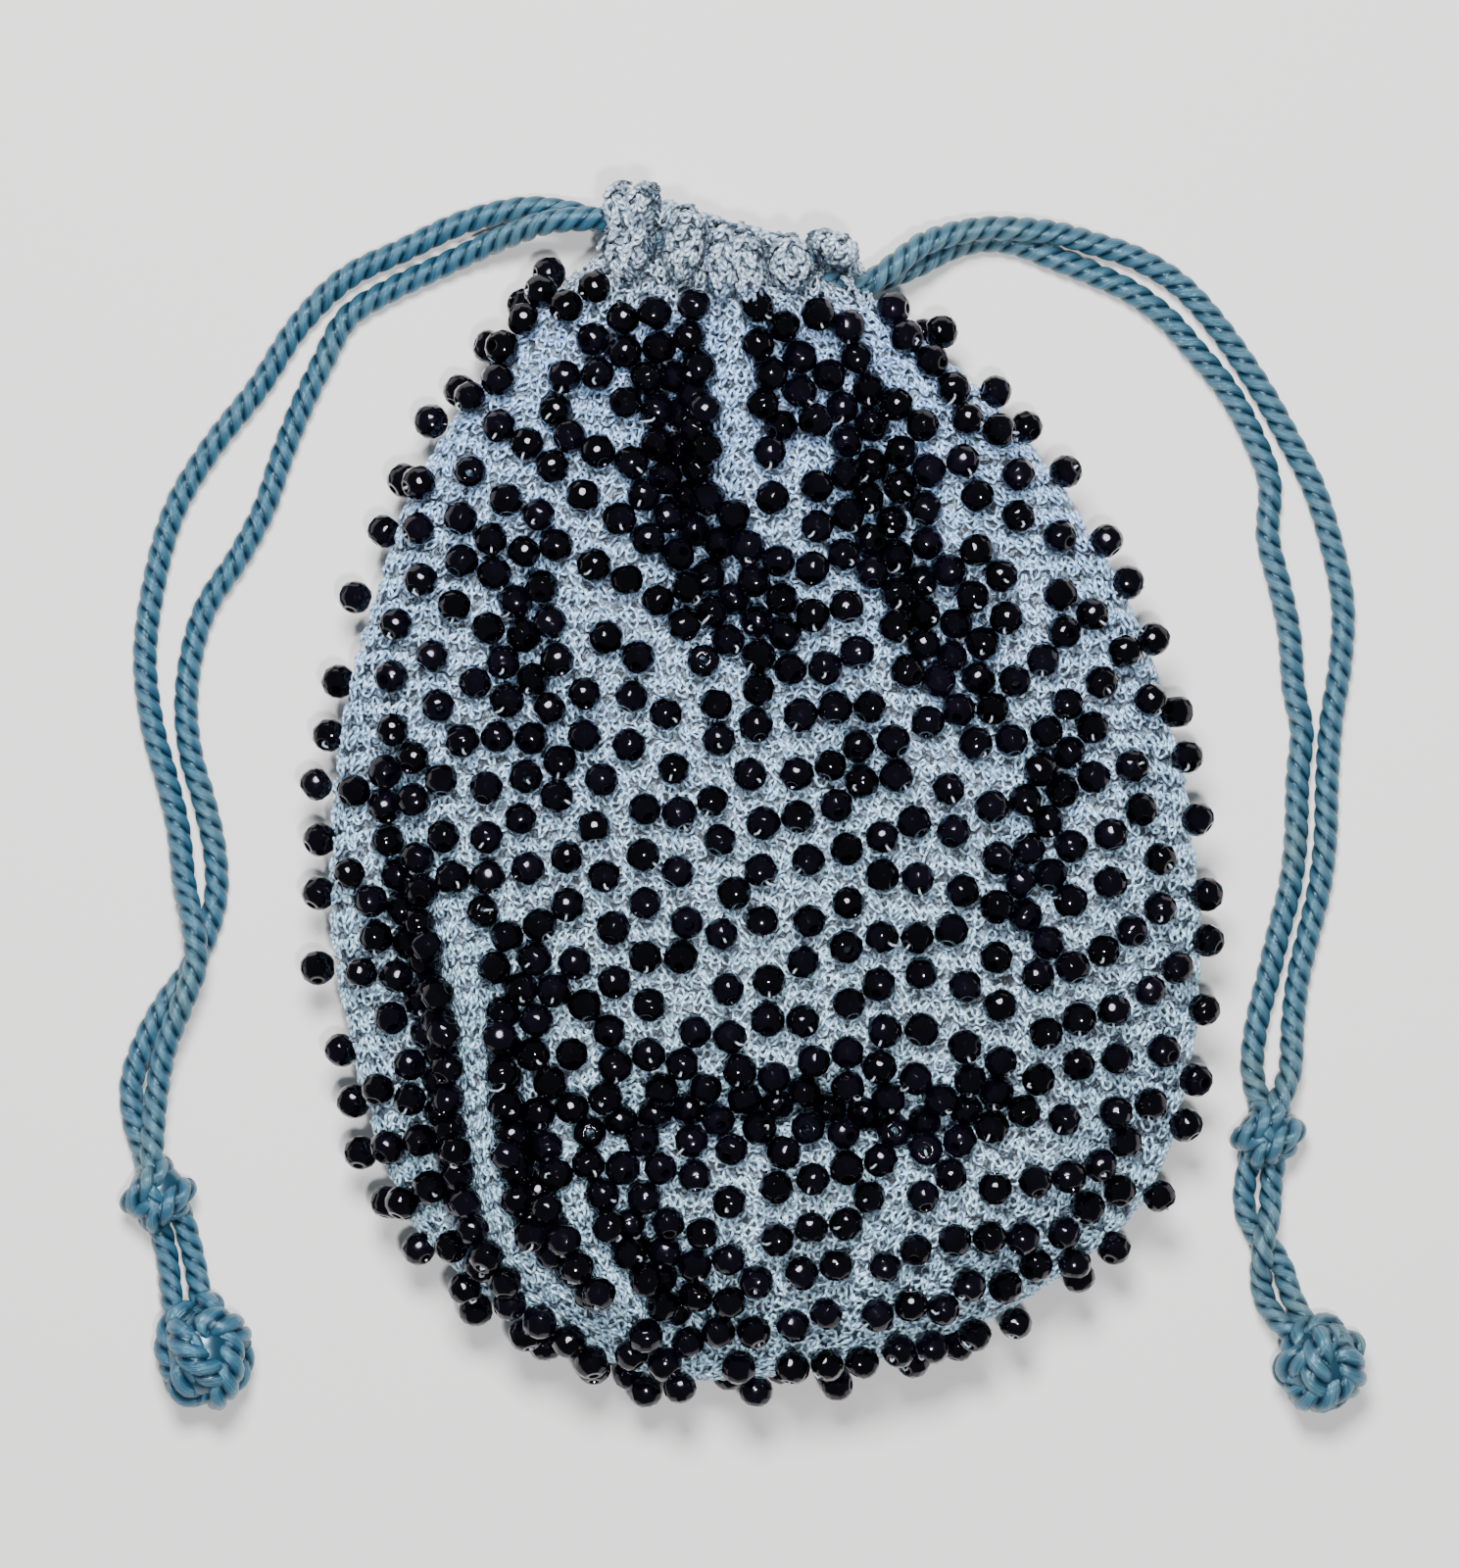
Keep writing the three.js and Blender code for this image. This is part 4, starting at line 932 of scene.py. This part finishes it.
# The frill is the top of the crochet above the casing, bunched by the drawn cords into upright
# puffs. Each puff is a pillow of small close stitches. The left end stands up like a horn.
# x, y: middle of the puff in millimetres. across, along: half sizes. turn: degrees.
FRONT_PUFFS = [
    {"x": -15.4, "y": 70.6, "across": 2.1, "along": 3.3, "turn": 14},
    {"x": -12.7, "y": 71.4, "across": 1.8, "along": 2.4, "turn": -28},
    {"x": -15.9, "y": 65.4, "across": 1.7, "along": 3.5, "turn": 6},
    {"x": -13.3, "y": 66.1, "across": 1.7, "along": 3.7, "turn": 4},
    {"x": -9.3, "y": 66.4, "across": 2.4, "along": 4.4, "turn": 0},
    {"x": -4.8, "y": 64.3, "across": 1.9, "along": 4.4, "turn": 0},
    {"x": -1.0, "y": 63.5, "across": 2.0, "along": 4.3, "turn": 0},
    {"x": 3.9, "y": 64.0, "across": 2.7, "along": 3.2, "turn": -8},
    {"x": 8.4, "y": 66.0, "across": 3.2, "along": 1.8, "turn": -14},
]
BACK_PUFFS = 7
BACK_PUFF_PLACE = 17.8
BACK_PUFF_END = 22                # degrees from the side fold to the first puff's edge
BACK_PUFF_HALF = (2.1 * MM, 3.9 * MM)
PUFF_UP = 1.30                    # half height of a puff, share of its half size across
BACK_PUFF_UP = 0.40
PUFF_STANDS = 0.60                # how far its middle stands off the neck's face, same share
PUFF_THREAD = 0.56 * MM
PUFF_STITCH = (1.9 * MM, 2.1 * MM)
PUFF_STITCH_AREA = 2.9 * MM * MM
PUFF_CLOSE = 0.92                 # puffs are drawn in by the creases between them
FRILL_PITCH = 2.4 * MM
PUFF_COVER = 1.3                  # how far down a puff its stitches reach, 2 all over
PUFF_SUNK = 0.42 * MM
PUFF_UNEVEN = 0.6
PILLOW_SUNK = 0.35 * MM           # depth of the pillows' faces below their stitches
AREA_POWER = 1.6                  # in the usual rule for the surface of an oval ball
CREASE_SHADE_SPAN = (0.30, 0.95)             # how far down a puff the painted shade of the crease begins, and is at its darkest
NECK_FROM = 15.5                  # section place from which the puffs' feet are looked for
NECK_GRID = (80, 160)


def puff_frames():
    """Each puff as its middle, its three directions and its three half sizes."""
    places = np.linspace(NECK_FROM, LAST_SECTION, NECK_GRID[0])
    places, angles = np.meshgrid(places, np.linspace(0.05, math.pi - 0.05, NECK_GRID[1]))
    at, normal, neckward = bag_frame(places.ravel(), angles.ravel())
    frames = []
    for puff in FRONT_PUFFS:
        middle = np.array([puff["x"], puff["y"]]) * MM
        near = np.argmin(np.hypot(*(at[:, :2] - middle).T))
        turn = math.radians(puff["turn"])
        across = np.cross(neckward[near], normal[near])
        along = neckward[near] * math.cos(turn) - across * math.sin(turn)
        half = np.array([puff["across"] * PUFF_CLOSE, puff["along"], puff["across"] * PUFF_UP]) * MM
        foot = np.array([*middle, at[near][2]])
        frames.append((foot + normal[near] * half[0] * PUFF_STANDS, along, normal[near], half))
    for number in range(BACK_PUFFS):
        angle = math.pi + math.radians(BACK_PUFF_END + (number + 0.5) / BACK_PUFFS * (180 - 2 * BACK_PUFF_END))
        foot, out, along = (part[0] for part in bag_frame(np.array([BACK_PUFF_PLACE]), np.array([angle])))
        half = np.array([*BACK_PUFF_HALF, BACK_PUFF_HALF[0] * BACK_PUFF_UP])
        frames.append((foot, along, out, half))
    return frames


def puff_stitches(frames):
    """Points, normals and neckward ways of the stitches over each puff's outer half, and their heights."""
    found = []
    for middle, along, out, half in frames:
        across = np.cross(along, out)
        area = 2 * math.pi * ((half[0] * half[1]) ** AREA_POWER + (half[0] * half[2]) ** AREA_POWER
                              + (half[1] * half[2]) ** AREA_POWER) ** (1 / AREA_POWER) / 3 ** (1 / AREA_POWER)
        count = round(area / PUFF_STITCH_AREA)
        number = np.arange(count) + 0.5
        height = 1 - PUFF_COVER * number / count
        turn = math.pi * (1 + 5 ** 0.5) * number
        level = np.sqrt(1 - height ** 2)
        ball = np.column_stack([level * np.cos(turn), level * np.sin(turn), height])
        axes = np.stack([across, along, out])
        at = middle + (ball * half) @ axes
        normal = unit((ball / half) @ axes)
        neckward = unit(along - normal * (normal @ along)[:, None])
        found.append((at, normal, neckward, height[:, None]))
    return tuple(np.vstack(part) for part in zip(*found))


RIM_CURL_PITCH = 1.7 * MM
OUTER_CURLS_IN = 1.1 * MM         # how far the outer row lies inside the frill's face
INNER_CURLS_IN = 2.4 * MM
CURL_LEAN = 0.7


def rim_curls():
    """Two rows of small bights along the rim, one curling out and one curling in."""
    angles = np.linspace(0, 2 * math.pi, 500)
    at, normal, neckward = bag_frame(np.full_like(angles, WALL_TOP), angles)
    run = lengths_along(at)
    picked = np.searchsorted(run, np.arange(0.5, round(run[-1] / RIM_CURL_PITCH)) * RIM_CURL_PITCH)
    at, normal, neckward = at[picked], normal[picked], neckward[picked]
    out = (at - normal * OUTER_CURLS_IN, unit(neckward + CURL_LEAN * normal),
           unit(CURL_LEAN * neckward - normal))
    back = (at - normal * INNER_CURLS_IN, neckward, normal)
    return tuple(np.vstack(pair) for pair in zip(out, back))


def clear_of_puffs(where):
    """Leaves out the stitches that a front puff hides."""
    hidden = np.zeros(len(where[0]), bool)
    for middle, along, out, half in puffs[:len(FRONT_PUFFS)]:
        off = where[0] - middle
        within = (off @ np.cross(along, out) / half[0]) ** 2 + (off @ along / half[1]) ** 2 < 1
        hidden |= within & (off @ out > -3 * half[2])
    return part_of(where, ~hidden)


puffs = puff_frames()
*pillows, heights = puff_stitches(puffs)
curls = rim_curls()
knobbly = stitched("puff_stitches", tuple(np.vstack(pair) for pair in zip(pillows, curls)), STITCH_PATH,
                   PUFF_STITCH, STITCH_SPANS - 2, 16, PUFF_SUNK, PUFF_THREAD, PUFF_UNEVEN)
# Painted shade: the stitches low on each puff, in the creases between the puffs, are darkened
puff_crease_shade = np.concatenate([smooth_step(1 - heights[:, 0], *CREASE_SHADE_SPAN), np.zeros(len(curls[0]))])
mark(knobbly, "puff_crease_shade", np.repeat(puff_crease_shade, len(knobbly.data.vertices) // len(puff_crease_shade)))
frill_spots = np.vstack([
    row_spots(low, low + math.pi, WALL_TOP, NECK_PLACE, FRILL_PITCH, FRILL_PITCH) for low in (0.0, math.pi)
])
stitched("frill_stitches", clear_of_puffs(clear_of_eyelet(bag_frame(*frill_spots.T))), STITCH_PATH,
         (FRILL_PITCH, FRILL_PITCH), STITCH_SPANS - 2, 14)
puff_cores = []
for middle, along, out, half in puffs:
    bpy.ops.mesh.primitive_uv_sphere_add(segments=16, ring_count=10, radius=1)
    core = bpy.context.object
    ball = np.array([vertex.co for vertex in core.data.vertices])
    placed = middle + (ball * (half - PILLOW_SUNK)) @ np.stack([np.cross(along, out), along, out])
    core.data.vertices.foreach_set("co", placed.astype(np.float32).ravel())
    # The pillows take the crochet ground, whose deep blue is painted shade showing between their stitches
    core.data.materials.append(wall_piece.data.materials[0])
    bpy.ops.object.shade_smooth()
    puff_cores.append(core)
frill_puffs = joined("frill_puffs", puff_cores)
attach(frill_puffs, "root")
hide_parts("crochet_bag")


# Inside the casing each drawstring goes once round the neck, squeezed a little thinner: in at its
# own side, round the far side, and out again.
CASING_CORD_DIAMETER = 2.6 * MM
CASING_GAP = 0.3 * MM
CASING_STEP = 0.9 * MM
CASING_PLACE = 17.9
CASING_RUN = 0.497                # half the straight run, share of the neck's half width
CASING_TURN = 0.600               # radius of the turn at the far side, share of half the neck's puff
# run: share of the neck's half width. shift: share of the drawstrings' distance from the middle
# of the casing. up: share of the turn's radius.
CASING_WAY_IN = [
    {"run": 1.072, "shift": 0.28, "up": -0.093},
    {"run": 0.863, "shift": 0.60, "up": 0.442},
    {"run": 0.654, "shift": 1.00, "up": 0.837},
    {"run": 0.348, "shift": 1.00, "up": 1.000},
    {"run": 0.000, "shift": 1.00, "up": 1.000},
]
CASING_WAY_OUT = [
    {"run": 0.000, "shift": 1.00, "up": -1.000},
    {"run": 0.497, "shift": 1.00, "up": -1.000},
    {"run": 0.824, "shift": 0.60, "up": -1.000},
    {"run": 1.072, "shift": 0.28, "up": -1.000},
]
CASING_TURN_POINTS = 5


def casing_route(side):
    """Route of a drawstring inside the casing, in millimetres."""
    at = np.array([CASING_PLACE])
    half_width, puff, shift, along, lift, tilt = (
        float(section_value(column, at)[0]) for column in ("width", "puff", "shift", "along", "lift", "tilt"))
    half_width *= BAG_WIDTH / 2
    puff *= BAG_PUFF
    tilt = math.radians(tilt)
    radius = CASING_TURN * puff / 2
    apart = -side * (CASING_CORD_DIAMETER + CASING_GAP) / 2
    turn = []
    for number in range(CASING_TURN_POINTS):
        angle = math.pi / 2 + number * math.pi / (CASING_TURN_POINTS - 1)
        run = -CASING_RUN + radius / half_width * math.cos(angle)
        turn.append({"run": run, "shift": 1, "up": math.sin(angle)})
    route = []
    for point in [*CASING_WAY_IN, *turn, *CASING_WAY_OUT]:
        across = side * point["run"] * half_width
        lengthwise = point["shift"] * apart
        route.append((
            (shift * BAG_WIDTH / 2 + across * math.cos(tilt) - lengthwise * math.sin(tilt)) / MM,
            (BOTTOM_TIP + along * BAG_LENGTH + across * math.sin(tilt) + lengthwise * math.cos(tilt)) / MM,
            (lift * BACK_HEIGHT + puff / 2 + point["up"] * radius) / MM,
        ))
    return route


for side, direction in (("left", -1), ("right", 1)):
    hidden = twisted_cord(f"{side}_casing_cord", route_centres(casing_route(direction), CASING_STEP),
                          CASING_CORD_DIAMETER, SIDE_SILK[side])
    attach(hidden, "root")
    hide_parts(f"{side}_drawstring_in_casing")


# The beads are black fire-polished glass with soft facets, one to every few stitches. Each hangs
# on its own loop of thread, so they crowd together where the crochet folds.
BEAD_PLACES = (15.4, 0.8)         # section places of the first and last row
BEAD_ROW = 2.95 * MM
BEAD_PITCH = 9.8 * MM
BEAD_FOLD_SHARE = 2.0             # folds hold more crochet, and beads, than their drawn shape
BEAD_DRAW = 0.48                  # how far beads slide down into a valley, share of the way
BEAD_DRAW_REACH = 2.0             # and from how far, in spreads of the fold
FULL_DRAW_RISE = 0.30             # depth of a valley that draws them fully, share of the puff
RIDGE_DRAW = -0.6                 # the most that a ridge drives them off, same share as BEAD_DRAW
BEAD_GAP = 0.05 * MM
BEAD_RELAX = 36                   # rounds in which crowded beads push each other apart
GATHERS_FROM = 58.6 * MM          # the bare gathers under the frill: lower edge, middle and half width
GATHERS_MIDDLE = -3.5 * MM
GATHERS_HALF = 11.5 * MM
BEAD_SCATTER = 0.6 * MM           # how far beads stray from their rows
BEAD_PUSH = 0.4                   # share of an overlap by which a bead gives way to another
SETTLED_PUSH = 0.8                # and to one that stays where it is
RIDGE_PUSH = 0.6                  # share of the way off a bare ridge at each step
BEAD_SINK = 0.35                  # share of the way back down to the crochet at each step
SETTLED_CLEAR = 1.5               # radii between a bead and one that stays where it is
FACE_PLACES = (0.3, 16.2, 260)    # grid of the crochet's face: section places and their count
FACE_ANGLES = 220
FACE_BEYOND = 0.15                # angle by which the grid goes past the beads
BEAD_PROFILE = (                  # (radius, half height) of the bead's rings, shares of its radius
    (0.30, 0.86), (0.52, 0.84), (0.82, 0.60), (0.985, 0.26),
    (0.985, -0.26), (0.82, -0.60), (0.52, -0.84), (0.30, -0.86),
)


def slid_into_folds(x, y):
    """How far beads at these points slide: into the valleys and off the ridges."""
    slide = np.zeros((len(x), 2))
    for rise, spread, _, line in FOLD_SHAPES:
        way, distance, share = nearest_on(line, x, y)
        drawn = BEAD_DRAW * np.clip(-rise / FULL_DRAW_RISE, RIDGE_DRAW, 1) * fold_fade(share)
        slide += way * (drawn * np.exp(-(distance / (spread * BEAD_DRAW_REACH)) ** 2))[:, None]
    return slide


def off_bare_ridges(centres):
    """How far beads too close to a bare ridge are moved off it."""
    move = np.zeros_like(centres)
    for _, _, clear, line in FOLD_SHAPES:
        way, distance, share = nearest_on(line, centres[:, 0], centres[:, 1])
        near = (distance < clear) & (share > 0) & (share < 1) & (centres[:, 2] > BAG_PUFF / 2)
        away = -way / np.maximum(distance, 1e-6)[:, None]
        move[:, :2] += np.where(near, clear - distance, 0)[:, None] * away * RIDGE_PUSH
    return move


def clear_of(centres, others, gap):
    """Which of the beads are farther than a gap from every one of the others."""
    return np.min(np.linalg.norm(centres[:, None] - others[None], axis=-1), axis=1) > gap


def bead_field(low_angle, high_angle, fixed, seed):
    """Bead centres, and the crochet's face under them: beads in rows, pushed clear of each other."""
    spots = row_spots(low_angle, high_angle, *BEAD_PLACES, BEAD_ROW, BEAD_PITCH, fold_share=BEAD_FOLD_SHARE)
    at, normal, neckward = bag_frame(spots[:, 0], spots[:, 1])
    draw = np.random.default_rng(seed)
    at = at + draw.normal(0, BEAD_SCATTER, at.shape)
    if low_angle < math.pi - 1:
        at[:, :2] += slid_into_folds(at[:, 0], at[:, 1])
    centres = at + normal * (BEAD_RADIUS + BEAD_GAP)
    spaced = clear_of(centres, fixed, BEAD_RADIUS * SETTLED_CLEAR)
    gathers = (centres[:, 1] > GATHERS_FROM) & (np.abs(centres[:, 0] - GATHERS_MIDDLE) < GATHERS_HALF)
    centres = centres[spaced & ~(gathers & (centres[:, 2] > BAG_PUFF / 2))]
    places = np.linspace(*FACE_PLACES)
    angles = np.linspace(low_angle - FACE_BEYOND, high_angle + FACE_BEYOND, FACE_ANGLES)
    grid_place, grid_angle = (g.ravel() for g in np.meshgrid(places, angles, indexing="ij"))
    face, face_normal, face_neckward = bag_frame(grid_place, grid_angle)
    tree = KDTree(len(face))
    for index, point in enumerate(face):
        tree.insert(point, index)
    tree.balance()
    apart = 2 * BEAD_RADIUS + BEAD_GAP
    own = np.arange(len(centres))
    for _ in range(BEAD_RELAX):
        everyone = np.vstack([centres, fixed])
        gap = centres[:, None] - everyone[None]
        distance = np.linalg.norm(gap, axis=-1)
        distance[own, own] = 1
        push = np.where(distance < apart, (apart - distance) / np.maximum(distance, 1e-6), 0)
        push *= np.where(np.arange(len(everyone)) < len(centres), BEAD_PUSH, SETTLED_PUSH)
        centres = centres + (gap * push[..., None]).sum(axis=1) + off_bare_ridges(centres)
        nearest = np.array([tree.find(point)[1] for point in centres])
        height = np.sum((centres - face[nearest]) * face_normal[nearest], axis=1)
        lift = BEAD_RADIUS + BEAD_GAP - height
        centres = centres + face_normal[nearest] * np.where(lift > 0, lift, lift * BEAD_SINK)[:, None]
        centres[:, 2] = np.maximum(centres[:, 2], FACET_HEIGHT)
    return centres, (tree, face_normal, face_neckward)


def bead_meshes(centres, axes, spins, sizes):
    """Corners and faces of all beads: a ten-sided barrel with a hole along each bead's axis."""
    count = len(centres)
    side = unit(np.cross(axes, spins))
    other = np.cross(axes, side)
    around = np.arange(BEAD_SIDES) * 2 * math.pi / BEAD_SIDES
    profile = np.array(BEAD_PROFILE) * BEAD_RADIUS
    ring = np.cos(around)[:, None] * side[:, None, :] + np.sin(around)[:, None] * other[:, None, :]
    ring, axes = ring * sizes[:, None, None], axes * sizes[:, None]
    points = (centres[:, None, None] + ring[:, None] * profile[None, :, 0, None, None]
              + axes[:, None, None] * profile[None, :, 1, None, None])
    rings = len(profile)
    bead = np.arange(count)[:, None, None] * rings * BEAD_SIDES
    row = bead + np.arange(rings)[:, None] * BEAD_SIDES
    next_row = bead + (np.arange(rings)[:, None] + 1) % rings * BEAD_SIDES
    return points.reshape(-1, 3), turned(ring_quads(row, next_row, BEAD_SIDES))


FACET_SHARE = 0.55                # how flat the polished facets are, 1 quite flat


def black_glass_material():
    """Nearly opaque black glass with a violet cast and a hard gloss, a little worn in places."""
    glass = new_material("black_glass")
    cast = noise(glass, place_on(glass), 160)
    round_side = add_node(glass, "NewGeometry", "Normal", {})
    flat_side = add_node(glass, "NewGeometry", "True Normal", {})
    return finish(glass, {
        "Base Color": colours_by(glass, cast, (0.40, (0.0004, 0.0005, 0.0008)), (0.70, (0.002, 0.0014, 0.005))),
        "Roughness": share_between(glass, cast, 0.35, 0.75, 0.04, 0.14),
        "IOR": 1.52,
        "Specular IOR Level": 0.30,
        "Specular Tint": (0.90, 0.82, 1.0, 1),
        "Normal": mixed(glass, FACET_SHARE, round_side, flat_side, "VECTOR"),
    })


black_glass = black_glass_material()
node_names = sorted(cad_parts)
outer_nodes = [name for name in node_names if name.startswith(("rim_bead", "front_bead"))]
back_nodes = [name for name in node_names if name.startswith("back_bead")]


def node_middles(names):
    return np.array([np.mean([np.array(corner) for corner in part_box(name)], axis=0) for name in names])


RIM_PITCH = {"left": 6.3 * MM, "right": 5.5 * MM}
RIM_ANGLE = {"left": math.pi, "right": 0.12}
RIM_FROM = 14.8
RIM_SUNK = 0.6 * MM               # how far these beads press into the edge
RIM_TO = 0.9
RIM_CLEAR = 4.3 * MM              # least distance between these beads and the solid ones
RIM_POINTS = 900


def rim_row(side, held):
    """Beads in a row along a side fold, between the ones already there."""
    places = np.linspace(RIM_FROM, RIM_TO, RIM_POINTS)
    at, normal, neckward = bag_frame(places, np.full_like(places, RIM_ANGLE[side]))
    run = lengths_along(at)
    wanted = np.arange(RIM_PITCH[side] / 2, run[-1], RIM_PITCH[side])
    picked = np.searchsorted(run, wanted)
    centres = at[picked] + normal[picked] * (BEAD_RADIUS - RIM_SUNK)
    return centres[clear_of(centres, held, RIM_CLEAR)]


LOOP_THREAD = 0.34 * MM
LOOPS_SEEN = 0.45                 # share of the beads whose thread shows
LOOP_SPANS = 5
LOOP_PATH = (                     # radii down the hole, and into the crochet
    (0.55, 0), (0.92, 0), (1.10, 0.40), (0.95, 1.05),
)
LOOP_SWAY = 0.16                  # and to either side
BEAD_LEAN = (40, 20)              # degrees by which a bead's hole leans, and how unlike they are
BEAD_SWING = 0.45
BEAD_SPIN = 0.4
BEAD_SIZES = (0.025, 0.94, 1.03)  # how unlike the beads' sizes are, the least and the most
BEAD_CLEARANCE = 0.02 * MM        # above the surface
loop_paths = []
loop_normals = []


def bead_piece(name, low_angle, high_angle, nodes_stood_for, row_beads, neighbours, seed):
    """One mesh of all the beads of a side, with the solid beads' own places among them."""
    settled = np.vstack([node_middles(nodes_stood_for), *row_beads])
    held = np.vstack([settled, neighbours])
    centres, (tree, face_normal, face_neckward) = bead_field(low_angle, high_angle, held, seed)
    centres = np.vstack([centres, settled])
    near = np.array([tree.find(point)[1] for point in centres])
    normals, neckwards = face_normal[near], face_neckward[near]
    draw = np.random.default_rng(seed + 50)
    lean = np.radians(draw.normal(*BEAD_LEAN, len(centres)))[:, None]
    swing = draw.normal(0, BEAD_SWING, (len(centres), 1))
    across = np.cross(neckwards, normals)
    axes = unit(neckwards * np.cos(lean) - normals * np.sin(lean) + across * swing)
    spins = unit(normals + draw.normal(0, BEAD_SPIN, normals.shape))
    spread, least, most = BEAD_SIZES
    sizes = np.clip(draw.normal(1.0, spread, len(centres)), least, most)
    points, quads = bead_meshes(centres, axes, spins, sizes)
    points[:, 2] = np.maximum(points[:, 2], BEAD_CLEARANCE)
    piece = new_piece(name, points, [quads], black_glass)
    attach(piece, "root")
    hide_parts(*nodes_stood_for)
    controls = np.stack([centres - axes * BEAD_RADIUS * down - normals * BEAD_RADIUS * into
                         for down, into in LOOP_PATH], axis=1)
    controls[:, 2:] += draw.normal(0, LOOP_SWAY, (len(centres), 1, 1)) * across[:, None] * BEAD_RADIUS
    seen = draw.random(len(centres)) < LOOPS_SEEN
    loop_paths.append(smooth_paths(controls[seen], LOOP_SPANS))
    loop_normals.append(across[seen])
    return centres


solid_rim = node_middles(outer_nodes)
side_rows = [rim_row(side, solid_rim) for side in ("left", "right")]
FRONT_BEADS = (0.32, math.pi - 0.32)
BACK_BEADS = (math.pi + 0.38, 2 * math.pi - 0.30)
front_centres = bead_piece("front_beads", *FRONT_BEADS, outer_nodes, side_rows, np.zeros((0, 3)), 21)
bead_piece("back_beads", *BACK_BEADS, back_nodes, [], front_centres, 22)


# Each bead's thread comes out of the lower end of its hole as a short pale bight and goes back
# into the crochet. It is the bag's own silk, a single ply of it.
LOOP_CLEARANCE = 0.03 * MM        # above the surface
loop_silk = new_material("bead_thread")
loop_tones = colours_by(loop_silk, noise(loop_silk, place_on(loop_silk), 900),
                        (0.3, (0.26, 0.33, 0.42)), (0.6, (0.52, 0.60, 0.68)))
finish(loop_silk, {"Base Color": loop_tones, "Roughness": 0.4})
loop_points, loop_faces, _ = thread_tubes(
    np.concatenate(loop_paths), np.concatenate(loop_normals), LOOP_THREAD / 2)
loop_points[:, 2] = np.maximum(loop_points[:, 2], LOOP_CLEARANCE)
bead_threads = new_piece("bead_threads", loop_points, loop_faces, loop_silk)
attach(bead_threads, "root")


# A plain pale surface under the purse, and soft light: one broad lamp above and behind it, and a
# small one nearly straight above that gives the beads their glints.
FLOOR_FINISH = {"Base Color": (0.90, 0.88, 0.865, 1), "Roughness": 0.9, "Specular IOR Level": 0.1}
bpy.ops.mesh.primitive_plane_add(size=4, location=(0, 0, 0))
floor = bpy.context.object
floor.name = "floor"
floor.data.materials.append(finish(new_material("pale_surface"), FLOOR_FINISH))

world = bpy.data.worlds.new("soft_studio")
world.use_nodes = True
set_sockets(world, world.node_tree.nodes["Background"], {"Color": (0.9, 0.95, 1.0, 1), "Strength": 0.17})
bpy.context.scene.world = world


def soft_lamp(name, place, size, energy):
    """A round lamp aimed at the middle of the purse."""
    data = bpy.data.lights.new(name, "AREA")
    data.shape = "DISK"
    data.size = size
    data.energy = energy
    lamp = bpy.data.objects.new(name, data)
    lamp.location = place
    x, y, z = place
    lamp.rotation_euler = (-math.atan2(y, z), math.atan2(x, math.hypot(y, z)), 0)
    bpy.context.scene.collection.objects.link(lamp)


soft_lamp("lamp", place=(-0.05, 0.30, 0.70), size=0.24, energy=9.1)
soft_lamp("front_lamp", place=(0.05, -0.09, 0.84), size=0.05, energy=4.6)
